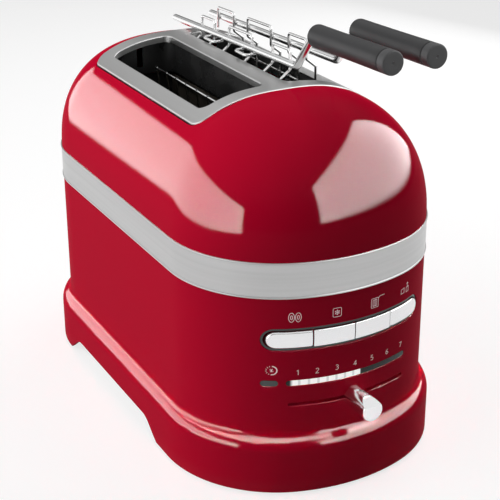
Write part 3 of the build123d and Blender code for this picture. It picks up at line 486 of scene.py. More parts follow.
def makeFinish(name, **given):
    finish = {**finishDefaults, **given}
    material = bpy.data.materials.new(name)
    material.use_nodes = True
    tree = material.node_tree
    shader = tree.nodes["Principled BSDF"]
    surface = addGroup(tree, surfaceGroup, Grain_Scale=finish["grainScale"], Patch_Scale=finish["patchScale"])
    colour = tint(finish["colour"], 1.0)
    colour = mixColour(tree, surface.outputs["Grain"], colour, tint(finish["colour"], finish["grainShift"]))
    colour = mixColour(tree, surface.outputs["Patch"], colour, tint(finish["colour"], finish["patchShift"]))
    height = surface.outputs["Grain"]
    roughFrom = surface.outputs["Patch"]
    if finish["brush"]:
        brush = addGroup(tree, finish["brush"])
        colour = mixColour(tree, brush.outputs["Bands"], colour, tint(finish["colour"], finish["lineShift"]))
        height = brush.outputs["Lines"]
        roughFrom = brush.outputs["Bands"]
    if finish["dust"]:
        dust = addGroup(tree, dustGroup, Height=finish["dustHeight"])
        amount = rangeNode(tree, dust.outputs["Dust"], 0.0, finish["dust"])
        colour = mixColour(tree, amount, colour, tint(finish["dustColour"], 1.0))
    tree.links.new(colour, shader.inputs["Base Color"])
    tree.links.new(rangeNode(tree, roughFrom, *finish["rough"]), shader.inputs["Roughness"])
    bump = tree.nodes.new("ShaderNodeBump")
    bump.inputs["Strength"].default_value = finish["bump"]
    bump.inputs["Distance"].default_value = finish["bumpDepth"]
    tree.links.new(height, bump.inputs["Height"])
    tree.links.new(bump.outputs["Normal"], shader.inputs["Normal"])
    shader.inputs["Metallic"].default_value = finish["metallic"]
    shader.inputs["Coat Weight"].default_value = finish["coat"]
    shader.inputs["Coat Roughness"].default_value = finish["coatRough"]
    shader.inputs["Specular IOR Level"].default_value = finish["specular"]
    for label, value in finish["fromShader"].items():
        shader.inputs[label].default_value = value
    return material


finishes = {
    "redPaint": makeFinish("redPaint", colour=(0.53, 0.0022, 0.026), grainShift=0.88, patchShift=0.97,
    rough=(0.4, 0.46),
                           grainScale=5200.0, patchScale=5.0, bump=0.02, coat=0.05, coatRough=0.06,
                           specular=0.0,
                           dust=0.04, dustHeight=0.012),
    "brushedBand": makeFinish("brushedBand", colour=(0.56, 0.56, 0.56), metallic=1.0, rough=(0.3, 0.38),
    brush=brushLevel,
                              bump=0.25, bumpDepth=0.00003, lineShift=0.78),
    "brushedPlate": makeFinish("brushedPlate", colour=(0.6, 0.6, 0.595), metallic=1.0, rough=(0.28, 0.38),
    brush=brushLong,
                               bump=0.2, bumpDepth=0.00003, lineShift=0.88),
    "sheetSteel": makeFinish("sheetSteel", colour=(0.5, 0.5, 0.49), metallic=1.0, rough=(0.32, 0.5),
    brush=brushLong,
                             bump=0.15, dust=0.1),
    # Near-black steel: the dark colour is painted shade, standing in for the shade inside the deep toasting
    # slots
    "slotShadeSteel": makeFinish("slotShadeSteel", colour=(0.016, 0.016, 0.016), rough=(0.22, 0.4),
    grainScale=1400.0, patchScale=30.0,
                             patchShift=1.5, bump=0.12, specular=0.5),
    "chrome": makeFinish("chrome", colour=(0.86, 0.86, 0.87), metallic=1.0, rough=(0.1, 0.16),
    patchShift=0.97,
                         grainShift=0.98, bump=0.01),
    "wireSteel": makeFinish("wireSteel", colour=(0.84, 0.84, 0.84), metallic=1.0, rough=(0.12, 0.22),
    patchShift=0.94, bump=0.03),
    "ringPlastic": makeFinish("ringPlastic", colour=(0.045, 0.052, 0.05), rough=(0.16, 0.26), bump=0.03,
    specular=0.6),
    "blackPlastic": makeFinish("blackPlastic", colour=(0.018, 0.018, 0.018), rough=(0.38, 0.52),
    grainScale=2200.0, bump=0.12,
                               patchShift=1.25, dust=0.25),
    "palePlastic": makeFinish("palePlastic", colour=(0.75, 0.73, 0.67), rough=(0.35, 0.5), bump=0.06),
    "boardGreen": makeFinish("boardGreen", colour=(0.012, 0.13, 0.05), rough=(0.25, 0.4), patchScale=160.0,
    patchShift=0.6, bump=0.1),
    "rubberBlack": makeFinish("rubberBlack", colour=(0.022, 0.022, 0.022), rough=(0.6, 0.8),
    grainScale=1800.0, bump=0.25, dust=0.35,
                              dustHeight=0.015),
    "gripPlastic": makeFinish("gripPlastic", colour=(0.02, 0.02, 0.021), rough=(0.42, 0.52),
    grainScale=3000.0, patchScale=26.0,
                              patchShift=1.12, bump=0.16, specular=0.4),
    "capPlastic": makeFinish("capPlastic", colour=(0.05, 0.05, 0.052), rough=(0.45, 0.55), grainScale=2600.0,
    bump=0.14),
    "micaBoard": makeFinish("micaBoard", colour=(0.05, 0.043, 0.034), rough=(0.3, 0.6), grainScale=300.0,
    patchScale=70.0,
                            grainShift=0.6, patchShift=1.5, bump=0.2),
    "ribbonMetal": makeFinish("ribbonMetal", colour=(0.09, 0.08, 0.075), metallic=1.0, rough=(0.35, 0.5),
    bump=0.1),
    # Printed marks in pale ink; the pink emission adds a painted glow, brightening the ink though it gives no
    # light
    "inkWithPaintedGlow": makeFinish("inkWithPaintedGlow", colour=(0.9, 0.7, 0.73), rough=(0.4, 0.5), grainScale=4000.0,
    grainShift=0.85, bump=0.05,
                           fromShader={"Emission Color": (0.9, 0.66, 0.7, 1), "Emission Strength": 0.3}),
    "pipePlastic": makeFinish("pipePlastic", colour=(0.85, 0.85, 0.85), rough=(0.3, 0.4), bump=0.05,
                              fromShader={"Transmission Weight": 0.4}),
}

lampRow = {"first": -41.2, "lit": 5.6, "pitch": 5.886,
    "seam": 0.07}      # which part of the bar is lit, in millimetres


def makeLensFinish(name, firstX, lastX, pitch):
    # Smoked plastic with a row of small lamps showing through it from firstX to lastX.
    material = makeFinish(name, colour=(0.02, 0.018, 0.018), rough=(0.14, 0.2), bump=0.02, specular=0.25)
    tree = material.node_tree
    shader = tree.nodes["Principled BSDF"]
    place = tree.nodes.new("ShaderNodeTexCoord")
    split = tree.nodes.new("ShaderNodeSeparateXYZ")
    tree.links.new(place.outputs["Object"], split.inputs[0])
    across = mathNode(tree, "SUBTRACT", split.outputs["X"], firstX * mm)
    share = mathNode(tree, "FRACT", mathNode(tree, "DIVIDE", across, pitch * mm), 0.0)
    fromSeam = mathNode(tree, "ABSOLUTE", mathNode(tree, "SUBTRACT", share, 0.5), 0.0)
    lamp = mathNode(tree, "SUBTRACT", 1.0, spread(tree, fromSeam, 0.5 - 2.4 * lampRow["seam"], 0.5))
    lamp = mathNode(tree, "MAXIMUM", lamp, 0.7)
    started = spread(tree, split.outputs["X"], firstX * mm, (firstX + 2.5) * mm)
    ended = spread(tree, split.outputs["X"], (lastX - 0.8) * mm, lastX * mm)
    lit = mathNode(tree, "MULTIPLY", started, mathNode(tree, "SUBTRACT", 1.0, ended))
    glow = mathNode(tree, "MULTIPLY", lamp, lit)
    black, white = (0.0, 0.0, 0.0, 1.0), (1.0, 0.97, 0.96, 1.0)
    tree.links.new(mixColour(tree, glow, black, white), shader.inputs["Emission Color"])
    shader.inputs["Emission Strength"].default_value = 0.85
    return material


finishes["litLens"] = makeLensFinish("litLens", lampRow["first"], lampRow["lit"], lampRow["pitch"])
print("finishes", len(finishes))


# The skirt, walls and openings of the lower housing, in millimetres.
housing = {
    "flare": 6.7, "skirtWall": 2.4, "wall": 2.2, "skirtBottom": baseLow.z, "skirtTop": 30.0,
    "shoulderTop": 43.0,
    "edgeRadius": 0.9, "archMiddle": 9.6, "archHalfLength": 78.0, "archHeight": 13.5, "archSlope": 18.0,
    "archFillet": 14.0,
    "mouthHalf": 54.5, "mouthLow": 16.2, "mouthHigh": 28.6, "holeRadius": 0.35,
}
panel = {
    "bezelZ": 106.0, "bezelHalf": 56.7, "bezelHeight": 14.8, "barZ": 76.2, "barHalf": 43.0, "barHeight": 3.6,
    "timerX": -52.0, "timerHalf": 4.7, "timerHeight": 4.0, "slotZ": 61.2, "slotHalf": 41.8,
    "slotHeight": 2.2, "fit": 0.1,
}


def shoulderGrow(z):
    span = housing["shoulderTop"] - housing["skirtTop"]
    reach = (span ** 2 + housing["flare"] ** 2) / (2 * housing["flare"])
    lower = reach * 0.6
    upper = reach - lower
    middle = housing["skirtTop"] + span * lower / reach
    if z <= middle:
        drop = z - housing["skirtTop"]
        flat = math.sqrt(lower ** 2 - drop ** 2)
        return housing["flare"] - lower + flat, flat / lower, drop / lower
    drop = housing["shoulderTop"] - z
    flat = math.sqrt(upper ** 2 - drop ** 2)
    return upper - flat, flat / upper, drop / upper


def archBottom(run):
    # Height of the skirt's lower edge: two slopes, rounded where they meet the flat.
    x, y, nx, ny = planAt(run, housing["flare"])
    low = housing["skirtBottom"]
    away = abs(y - housing["archMiddle"])
    if abs(x) < body["halfWidth"] or away > housing["archHalfLength"]:
        return low
    ramp = housing["archSlope"] * (housing["archHeight"] - low) / housing["archHeight"]
    corner = housing["archHalfLength"] - ramp
    slope = math.atan2(housing["archHeight"] - low, ramp)
    tangent = housing["archFillet"] * math.tan(slope / 2)
    if away <= corner - tangent:
        return housing["archHeight"]
    if away >= corner + tangent * math.cos(slope):
        return max(low, low + (housing["archHalfLength"] - away) * math.tan(slope))
    offset = away - (corner - tangent)
    return housing["archHeight"] - housing["archFillet"] + math.sqrt(housing["archFillet"] ** 2 - offset ** 2)


def skirtRows():
    flare, wall, radius = housing["flare"], housing["skirtWall"], housing["edgeRadius"]
    rows = []
    count = 10
    for n in range(count + 1):
        z = housing["shoulderTop"] + (housing["skirtTop"] - housing["shoulderTop"]) * n / count
        grow, outward, upward = shoulderGrow(z)
        rows.append((grow, z, outward, upward))
    shares = (1.0, (housing["mouthHigh"] - housing["skirtBottom"]) / (housing["skirtTop"]
        - housing["skirtBottom"]), 0.7,
              (housing["mouthLow"] - housing["skirtBottom"]) / (housing["skirtTop"]
              - housing["skirtBottom"]), 0.25)

    def risen(share, lift=0.0, grow=flare, outward=1.0, upward=0.0):
        def row(run):
            low = archBottom(run)
            return grow, low + (housing["skirtTop"] - low) * share + lift, outward, upward
        return row

    rows += [risen(share) for share in shares[1:]]
    for n in range(6):
        turn = math.radians(90 * n / 5)
        rows.append(risen(0.0, radius * (1 - math.sin(turn)), flare - radius + radius * math.cos(turn),
            math.cos(turn), -math.sin(turn)))
    for n in range(1, 6):
        turn = math.radians(90 * n / 5)
        rows.append(risen(0.0, radius * (1 - math.cos(turn)),
            flare - wall + radius - radius * math.sin(turn), -math.sin(turn), -math.cos(turn)))
    inner = flare - wall
    rows.append((inner, housing["skirtTop"] - wall, -1.0, 0.0))
    rows.append((inner, housing["skirtTop"] - wall, 0.0, -1.0))
    rows.append((-housing["wall"], housing["skirtTop"] - wall, 0.0, -1.0))
    rows.append((-housing["wall"], body["bandBottom"], -1.0, 0.0))
    mouthRows = (count + 1, count + 3)
    return rows, mouthRows


def makeHousing():
    # The skirt and shoulder are swept, and the upright wall is one sheet with the openings cut in it.
    runs = stations()
    rear = 2 * quarter - runAtX(housing["mouthHalf"])
    for edge in (-rear, rear):
        nearest = min(range(len(runs)), key=lambda n: abs(runs[n] - edge))
        runs[nearest] = edge
    rows, mouthRows = skirtRows()
    points, faces, normals = sweepRound(rows, runs)
    perRun = len(rows) - 1
    kept = []
    for index, face in enumerate(faces):
        run, row = runs[index // perRun], index % perRun
        nextRun = runs[(index // perRun + 1) % len(runs)]
        inMouth = mouthRows[0] <= row < mouthRows[1] and (abs(run) >= rear - 0.01) and (abs(nextRun) >= rear
            - 0.01)
        if not inMouth:
            kept.append(face[::-1])
    half = 2 * quarter
    p = panel
    cuts = [
        stadium(0, p["bezelZ"], p["bezelHalf"] + p["fit"], p["bezelHeight"] / 2 + p["fit"], 12),
        stadium(0, p["barZ"], p["barHalf"] + p["fit"], p["barHeight"] / 2 + p["fit"]),
        stadium(p["timerX"], p["barZ"], p["timerHalf"] + p["fit"], p["timerHeight"] / 2 + p["fit"]),
        stadium(0, p["slotZ"], p["slotHalf"], p["slotHeight"] / 2),
    ]
    holes = [[(runAtX(x), z) for x, z in cut] for cut in cuts]
    outer = []
    strip = [(-half, housing["shoulderTop"]), (half, housing["shoulderTop"]), (half, body["bandBottom"]),
        (-half, body["bandBottom"])]
    for n, point in enumerate(strip):
        outer += splitEdge(point, strip[(n + 1) % 4], body["stationGap"])

    def onWall(run, z, depth):
        run = max(-half, min(half, run))
        x, y, nx, ny = planAt(run)
        if depth and abs(x) < 70 and y < 0:
            return x, frontY(x, -depth), z
        return x - depth * nx, y - depth * ny, z

    wall = sheet(outer, holes, onWall, (body["stationGap"], 5.0), housing["holeRadius"], housing["wall"],
        openEdge=True, steps=3)
    first = len(points)
    points += wall[0]
    kept += [tuple(first + k for k in face) for face in wall[1]]
    normals += wall[2]
    piece = makeMesh("lowerHousing", points, kept, normals)
    return finishPiece(piece, "housing", finishes["redPaint"], ["lower_housing"])


band = {"proud": 0.4, "bead": 0.9, "beadHeight": 1.4, "wall": 2.2}


def makeBand():
    # A brushed strip between two rounded beads.
    proud, bead, height, wall = band["proud"], band["bead"], band["beadHeight"], band["wall"]
    low, high = body["bandBottom"], body["bandTop"]
    radius = height / 2
    rows = [(-wall, low, 0, -1), (bead - radius, low, 0, -1)]
    rows += roundedRow(bead - radius, low + radius, radius, -90, 78, 8)
    rows += [(proud, low + height + 0.05, 1, 0.15), (proud, low + height + 0.3, 1, 0)]
    rows += [(proud, high - height - 0.3, 1, 0), (proud, high - height - 0.05, 1, -0.15)]
    rows += roundedRow(bead - radius, high - radius, radius, -78, 90, 8)
    rows += [(-wall, high, 0, 1)]
    points, faces, normals = sweepRound(rows, stations())
    piece = makeMesh("trimBand", points, faces, normals)
    return finishPiece(piece, "housing", finishes["brushedBand"], ["trim_band"])


plate = {
    "middleY": (plateLow.y + plateHigh.y) / 2, "halfX": plateHigh.x, "halfY": (plateHigh.y - plateLow.y) / 2,
    "corner": 9.0,
    "gap": 0.7, "proud": 0.5, "slotX": 29.8, "slotHalfX": 22.0, "slotHalfY": 71.85, "slotCorner": 6.0,
    "roll": 0.85,
    "rimDepth": 4.5, "edgeDepth": 3.2,
}


def openingDistance(x, y):
    # Below zero inside the opening that the plate sits in.
    grow = plate["gap"]
    radius = plate["corner"] + grow
    qx = abs(x) - (plate["halfX"] + grow - radius)
    qy = abs(y - plate["middleY"]) - (plate["halfY"] + grow - radius)
    return math.hypot(max(qx, 0), max(qy, 0)) + min(max(qx, qy), 0) - radius


def makeDome():
    # Each line climbs from the band to the edge of the plate's opening, then turns down inside it.
    rowCount = 34
    points, faces, normals = [], [], []
    runs = stations()
    rise = body["top"] - body["bandTop"]

    def onDome(run, turn):
        level = math.cos(turn) ** (2 / body["domePower"])
        x, y, nx, ny = planAt(run, 0.0, level)
        return x, y, body["bandTop"] + rise * math.sin(turn) ** (2 / body["domeRoot"])

    for run in runs:
        low, high = 0.0, 1.0
        for halving in range(40):
            level = (low + high) / 2
            x, y, nx, ny = planAt(run, 0.0, level)
            if openingDistance(x, y) < 0:
                low = level
            else:
                high = level
        last = math.acos(high ** (body["domePower"] / 2))
        x, y, nx, ny = planAt(run)
        for k in range(rowCount + 1):
            turn = last * k / rowCount
            points.append(onDome(run, turn))
            step = Vector(onDome(run, min(turn + 0.003, math.pi / 2))) - Vector(onDome(run,
                max(turn - 0.003, 0.0)))
            normals.append(Vector((-ny, nx, 0)).cross(step).normalized())
        px, py, pz = points[-1]
        lastNormal = normals[-1]
        outward = Vector((-px, -(py - plate["middleY"]), 0)).normalized()
        for inset, drop, turn in ((0.12, 0.05, 0.5), (0.22, 0.22, 1.1), (0.25, 0.5, 1.57), (0.25, 3.0, 1.57)):
            points.append((px + outward.x * inset, py + outward.y * inset, pz - drop))
            normals.append(lastNormal * math.cos(turn) + outward * math.sin(turn))
    perRun = rowCount + 5
    for n in range(len(runs)):
        here, there = n * perRun, (n + 1) % len(runs) * perRun
        for k in range(perRun - 1):
            faces.append((here + k, there + k, there + k + 1, here + k + 1))
    piece = makeMesh("topShell", points, faces, normals)
    return finishPiece(piece, "housing", finishes["redPaint"], ["top_shell"])


def makePlate():
    outer = roundedOutline((0, plate["middleY"]), (plate["halfX"], plate["halfY"]), plate["corner"], 4.0, 10)
    holes = [roundedOutline((side * plate["slotX"], plate["middleY"]),
        (plate["slotHalfX"], plate["slotHalfY"]), plate["slotCorner"], 4.0, 10)
             for side in (-1, 1)]

    def onPlate(x, y, depth):
        return x, y, plateZ(x) + plate["proud"] - depth

    points, faces, normals = sheet(outer, holes, onPlate, (3.0, 4.0), plate["roll"], plate["edgeDepth"],
        plate["rimDepth"], 5)
    piece = makeMesh("slotPlate", points, faces, normals)
    return finishPiece(piece, "housing", finishes["brushedPlate"], ["slot_plate"])


makeHousing()
makeBand()
makeDome()
makePlate()
print("casings made")


# The push buttons. The crown is how far each face falls off towards its long edges.
buttons = {
    "names": ("bagel_button", "frozen_button", "sandwich_button", "lift_button"), "pitch": 27.4, "seam": 0.5,
    "inset": 1.9,
    "proud": 1.1, "crown": 0.35, "roll": 1.15, "innerRoll": 0.45, "corner": 0.5, "depth": 6.0, "steps": 12,
}


ring = {"inset": 1.55, "recess": 0.7, "gap": (3.0, 3.0), "roll": 0.3, "depth": 3.0, "holeDepth": 4.3}


def makeRing():
    # The dark recess round the buttons.
    p = panel
    halfHeight = p["bezelHeight"] / 2
    inset = ring["inset"]
    outer = stadium(0, p["bezelZ"], p["bezelHalf"], halfHeight, 12)
    hole = stadium(0, p["bezelZ"], p["bezelHalf"] - inset, halfHeight - inset, 12)
    points, faces, normals = sheet(outer, [hole], onFront(-ring["recess"]), ring["gap"], ring["roll"],
        ring["depth"], ring["holeDepth"])
    piece = makeMesh("buttonBezel", points, faces, normals)
    return finishPiece(piece, "housing", finishes["ringPlastic"], ["button_bezel"])


def buttonOutline(index):
    b, p = buttons, panel
    halfHeight = p["bezelHeight"] / 2 - b["inset"]
    halfWidth = (b["pitch"] - b["seam"]) / 2
    centre = b["pitch"] * (index - 1.5)
    z = p["bezelZ"]
    left, right = centre - halfWidth, centre + halfWidth
    small = b["corner"]
    corners = []
    for turn, (x, sz) in enumerate(((right, -1), (right, 1), (left, 1), (left, -1))):
        roundEnd = (index == 3 and turn < 2) or (index == 0 and turn > 1)
        radius = halfHeight - 0.01 if roundEnd else small
        cx = x - radius if turn < 2 else x + radius
        for n in range(b["steps"] + 1):
            angle = math.radians(-90 + 90 * turn + 90 * n / b["steps"])
            corners.append((cx + radius * math.cos(angle), z + sz * (halfHeight - radius) + radius
                * math.sin(angle)))
    loop = []
    for n, point in enumerate(corners):
        after = corners[(n + 1) % len(corners)]
        if math.dist(point, after) > 1e-4:
            loop += splitEdge(point, after, 2.0)
    return loop


def makeButtons():
    b, p = buttons, panel
    halfHeight = p["bezelHeight"] / 2 - b["inset"]
    for index, name in enumerate(b["names"]):
        def onButton(x, z, depth):
            crown = b["crown"] * min(1.0, abs(z - p["bezelZ"]) / halfHeight) ** 2
            return x, frontY(x, b["proud"] - crown - depth), z

        points, faces, normals = sheet(buttonOutline(index), [], onButton, (2.0, 1.5), b["roll"]
            if index in (0, 3) else b["innerRoll"],
                                       b["depth"], steps=6)
        pieceName = name.split("_")[0] + "Button"
        finishPiece(makeMesh(pieceName, points, faces, normals), name, finishes["satinChrome"], [name])


lens = {"recess": 0.15, "gap": (2.0, 1.0), "roll": 0.3, "depth": 2.6}


def makeLenses():
    p = panel
    for name, node, x, half, height, finish in (
        ("lightBarLens", "light_bar_lens", 0, p["barHalf"], p["barHeight"], "litLens"),
        ("timerLens", "timer_lens", p["timerX"], p["timerHalf"], p["timerHeight"], "ringPlastic"),
    ):
        points, faces, normals = sheet(stadium(x, p["barZ"], half, height / 2), [], onFront(-lens["recess"]),
            lens["gap"], lens["roll"], lens["depth"], steps=3)
        finishPiece(makeMesh(name, points, faces, normals), "housing", finishes[finish], [node])


knob = {"roundOver": 0.45, "facetDrop": 4.4, "facetRun": 9.0, "facetLift": 0.2}


def makeKnob():
    # A turned stud with a sloping finger facet cut on top of its tip.
    low, high = nodeBox("browning_knob")
    radius = (high.x - low.x) / 2
    length = high.y - low.y
    middleZ = low.z + radius
    r = knob["roundOver"]
    profile = [(0.0, radius - 0.3), (0.3, radius), (1.0, radius), (length - r - 0.6, radius),
        (length - r, radius)]
    profile += [(length - r + r * math.sin(t), radius - r + r * math.cos(t)) for t in (0.5, 1.0, 1.57)]
    profile += [(length, radius - r - 0.4)]
    piece = lathe("browningKnob", profile, (0, high.y, middleZ), (0, -1, 0), 72)
    shape = bmesh.new()
    shape.from_mesh(piece.data)
    topZ = middleZ + radius
    tip = Vector((0, low.y - 1, topZ - knob["facetDrop"])) * mm
    back = Vector((0, low.y + knob["facetRun"], topZ + knob["facetLift"])) * mm
    direction = Vector((1, 0, 0)).cross(back - tip).normalized()
    cut = bmesh.ops.bisect_plane(shape, geom=shape.verts[:] + shape.edges[:] + shape.faces[:], plane_co=tip,
                                 plane_no=direction, clear_outer=True)
    rim = [g for g in cut["geom_cut"] if isinstance(g, bmesh.types.BMEdge)]
    bmesh.ops.edgeloop_fill(shape, edges=rim)
    bmesh.ops.recalc_face_normals(shape, faces=shape.faces[:])
    shape.to_mesh(piece.data)
    shape.free()
    piece.data.polygons.foreach_set("use_smooth", [True] * len(piece.data.polygons))
    piece.data.set_sharp_from_angle(angle=math.radians(30))
    return finishPiece(piece, "browning_slider", finishes["chrome"], ["browning_knob"])


finishes["satinChrome"] = makeFinish("satinChrome", colour=(0.82, 0.82, 0.83), metallic=1.0,
    rough=(0.17, 0.22), patchShift=0.96,
                                     grainShift=0.98, bump=0.02)
makeRing()
makeButtons()
makeLenses()
makeKnob()
print("controls made")


# Printed marks, drawn as strokes laid on the front wall.

marks = {
    "ink": 0.34, "lift": 0.035, "digitHeight": 3.3, "digitZ": 83.4,
    "digitX": (-36.3, -24.4, -11.6, 1.1, 13.9, 26.4, 39.1),
    "iconZ": 121.0, "timerX": -51.0, "timerZ": 85.4,
}

digitStrokes = {
    "1": [[(0.12, 0.8), (0.36, 1.0), (0.36, 0.0)]],
    "2": [[(0.02, 0.8), (0.1, 0.95), (0.28, 1.0), (0.46, 0.94), (0.54, 0.76), (0.46, 0.56), (0.0, 0.0),
    (0.58, 0.0)]],
    "3": [[(0.04, 0.92), (0.26, 1.0), (0.48, 0.93), (0.52, 0.74), (0.4, 0.58), (0.2, 0.54)],
          [(0.4, 0.54), (0.56, 0.4), (0.54, 0.14), (0.36, 0.0), (0.14, 0.0), (0.0, 0.1)]],
    "4": [[(0.44, 0.0), (0.44, 1.0), (0.0, 0.28), (0.6, 0.28)]],
    "5": [[(0.52, 1.0), (0.1, 1.0), (0.06, 0.56), (0.3, 0.62), (0.5, 0.52), (0.56, 0.3), (0.48, 0.08),
    (0.28, 0.0), (0.02, 0.06)]],
    "6": [[(0.5, 0.98), (0.26, 0.84), (0.08, 0.54), (0.04, 0.24), (0.16, 0.04), (0.36, 0.0), (0.54, 0.12),
    (0.58, 0.32),
           (0.48, 0.5), (0.28, 0.56), (0.08, 0.4)]],
    "7": [[(0.0, 1.0), (0.58, 1.0), (0.2, 0.0)]],
}


def ringStroke(x, z, rx, rz, start=0, end=360, steps=28):
    return [(x + rx * math.cos(math.radians(start + (end - start) * n / steps)),
             z + rz * math.sin(math.radians(start + (end - start) * n / steps))) for n in range(steps + 1)]


def boxStroke(x, z, hx, hz, radius):
    loop = roundedOutline((x, z), (hx, hz), radius, 2.0, 4)
    return loop + loop[:1]


def iconStrokes():
    z = marks["iconZ"]
    bagels = [ringStroke(-38.4 + side * 1.95, z, 1.65, 3.0) for side in (-1, 1)]
    bagels += [ringStroke(-38.4 + side * 1.95, z, 0.6, 1.35, steps=14) for side in (-1, 1)]
    frozen = [boxStroke(-12.5, z, 2.75, 2.9, 0.8)]
    for turn in (90, 30, 150):
        dx, dz = math.cos(math.radians(turn)), math.sin(math.radians(turn))
        frozen.append([(-12.5 - 1.8 * dx, z - 1.8 * dz), (-12.5 + 1.8 * dx, z + 1.8 * dz)])
        for end in (-1, 1):
            tip = (-12.5 + end * 1.25 * dx, z + end * 1.25 * dz)
            frozen.append([(tip[0] - 0.5 * dz, tip[1] + 0.5 * dx), (tip[0] + 0.5 * dz, tip[1] - 0.5 * dx)])
    cage = [boxStroke(14.5, z, 2.7, 3.1, 0.5), boxStroke(14.5, z, 1.5, 2.1, 0.3)]
    cage += [[(14.5 + dx, z - 2.1), (14.5 + dx, z + 2.1)] for dx in (-0.55, 0.55)]
    cage += [[(17.2, z + 2.4), (18.3, z + 3.6), (22.1, z + 3.8)]]
    sliceLines = [[(37.4, z - 1.8), (37.4, z + 1.1), (40.3, z + 1.6), (40.3, z - 1.6), (37.4, z - 1.8)]]
    sliceLines += [[(42.4, z - 2.0), (42.4, z + 1.2), (44.6, z + 1.6), (44.6, z - 1.7), (42.4, z - 2.0)]]
    sliceLines += [[(43.5, z + 1.0), (43.5, z + 4.2)], [(42.7, z + 3.2), (43.5, z + 4.3), (44.3, z + 3.4)]]
    return bagels + frozen + cage + sliceLines


def timerStrokes():
    x, z = marks["timerX"], marks["timerZ"]
    strokes = [[(x + 1.2 * math.cos(math.radians(a)), z + 1.2 * math.sin(math.radians(a))),
                (x - 1.2 * math.cos(math.radians(a)), z - 1.2 * math.sin(math.radians(a)))]
                for a in (60, 105, 150)]
    for turn in range(110, 271, 26):
        dx, dz = math.cos(math.radians(turn)), math.sin(math.radians(turn))
        strokes.append([(x + 2.5 * dx, z + 2.5 * dz), (x + 3.2 * dx, z + 3.2 * dz)])
    return strokes, [ringStroke(x, z, 2.9, 2.9, -95, 85, 24)]


def strokePiece(name, strokes, width, lift):
    points, faces, normals = [], [], []
    place = onFront(lift)
    for stroke in strokes:
        closed = math.dist(stroke[0], stroke[-1]) < 1e-4
        line = stroke[:-1] if closed else stroke
        dense = []
        for n in range(len(line) if closed else len(line) - 1):
            dense += splitEdge(line[n], line[(n + 1) % len(line)], 0.8)
        if not closed:
            dense.append(line[-1])
        first, count = len(points), len(dense)
        for n, (x, z) in enumerate(dense):
            before = dense[n - 1] if closed or n else dense[n]
            after = dense[(n + 1) % count] if closed or n < count - 1 else dense[n]
            one = Vector((x - before[0], z - before[1])) if before != (x,
                z) else Vector((after[0] - x, after[1] - z))
            two = Vector((after[0] - x, after[1] - z)) if after != (x, z) else one
            side = (one.normalized() + two.normalized())
            side = Vector((-side.y, side.x)).normalized()
            reach = width / 2 / max(0.5, side.dot(Vector((-one.y, one.x)).normalized()))
            for way in (-1, 1):
                u, v = x + way * reach * side.x, z + way * reach * side.y
                points.append(place(u, v, 0))
                normals.append(frameAt(place, u, v, 0)[2])
        for n in range(count if closed else count - 1):
            here, there = first + 2 * n, first + 2 * ((n + 1) % count)
            faces.append((here, there, there + 1, here + 1))
    piece = makeMesh(name, points, faces, normals)
    # the marks use the ink finish, whose emission is a painted glow
    return finishPiece(piece, "housing", finishes["inkWithPaintedGlow"])


def makeMarks():
    digits = []
    height = marks["digitHeight"]
    for number, x in enumerate(marks["digitX"]):
        for stroke in digitStrokes[str(number + 1)]:
            digits.append([(x + (a - 0.3) * height, marks["digitZ"] + (b - 0.5) * height) for a, b in stroke])
    strokePiece("browningNumbers", digits, marks["ink"], marks["lift"])
    strokePiece("buttonSymbols", iconStrokes(), marks["ink"], marks["lift"])
    thin, thick = timerStrokes()
    strokePiece("timerSymbol", thin, marks["ink"], marks["lift"])
    strokePiece("timerArc", thick, marks["ink"] * 1.9, marks["lift"])


makeMarks()
print("marks printed")


# Roundings, seam and end dimple of the clamp rack grips.
grip = {"endRound": 2.2, "startRound": 1.6, "seam": 0.9, "capRound": 1.1, "dimple": 0.9, "waist": 0.12}


def makeGrips():
    for side, name in ((-1, "left"), (1, "right")):
        gripLow, gripHigh = nodeBox(f"rack_{name}_grip")
        capLow, capHigh = nodeBox(f"rack_{name}_cap")
        radius = (gripHigh.x - gripLow.x) / 2
        x = (gripHigh.x + gripLow.x) / 2
        start = Vector((x, gripHigh.y, gripLow.z + radius))
        end = Vector((x, capLow.y, capHigh.z - radius))
        along = (end - start).normalized()
        total = (end - start).length
        capLength = (capHigh.y - capLow.y) * 0.9
        length = total - capLength - grip["seam"]
        r, s = grip["startRound"], grip["endRound"]
        profile = [(0.0, 3.0), (0.0, radius - s)]
        profile += [(s - s * math.cos(t), radius - s + s * math.sin(t)) for t in (0.4, 0.8, 1.2, 1.57)]
        for n in range(1, 12):
            share = n / 12
            profile.append((s + (length - s - 0.5) * share, radius - grip["waist"]
                * math.sin(math.pi * share)))
        profile += [(length - 0.5, radius), (length - 0.25, radius - 0.08), (length, radius - 0.35),
            (length, 4.0)]
        finishPiece(lathe(f"{name}Grip", profile, start, along), f"rack_{name}", finishes["gripPlastic"],
            [f"rack_{name}_grip"])
        capStart = start + along * (length + grip["seam"])
        c = grip["capRound"]
        cap = [(-grip["seam"], 4.0), (0.0, radius - 0.35), (0.2, radius - 0.05), (0.6, radius),
            (capLength - c, radius)]
        cap += [(capLength - c + c * math.sin(t), radius - c + c * math.cos(t))
            for t in (0.4, 0.8, 1.2, 1.57)]
        cap += [(capLength - 0.12, radius * 0.5), (capLength - 0.15, grip["dimple"] + 0.15),
            (capLength - 0.35, grip["dimple"]),
                (capLength - 1.2, grip["dimple"] - 0.1)]
        finishPiece(lathe(f"{name}GripCap", cap, capStart, along), f"rack_{name}", finishes["capPlastic"],
            [f"rack_{name}_cap"])
        for pieceName in (f"{name}Grip", f"{name}GripCap"):
            bpy.data.objects[pieceName].visible_glossy = False


makeGrips()
print("grips made")


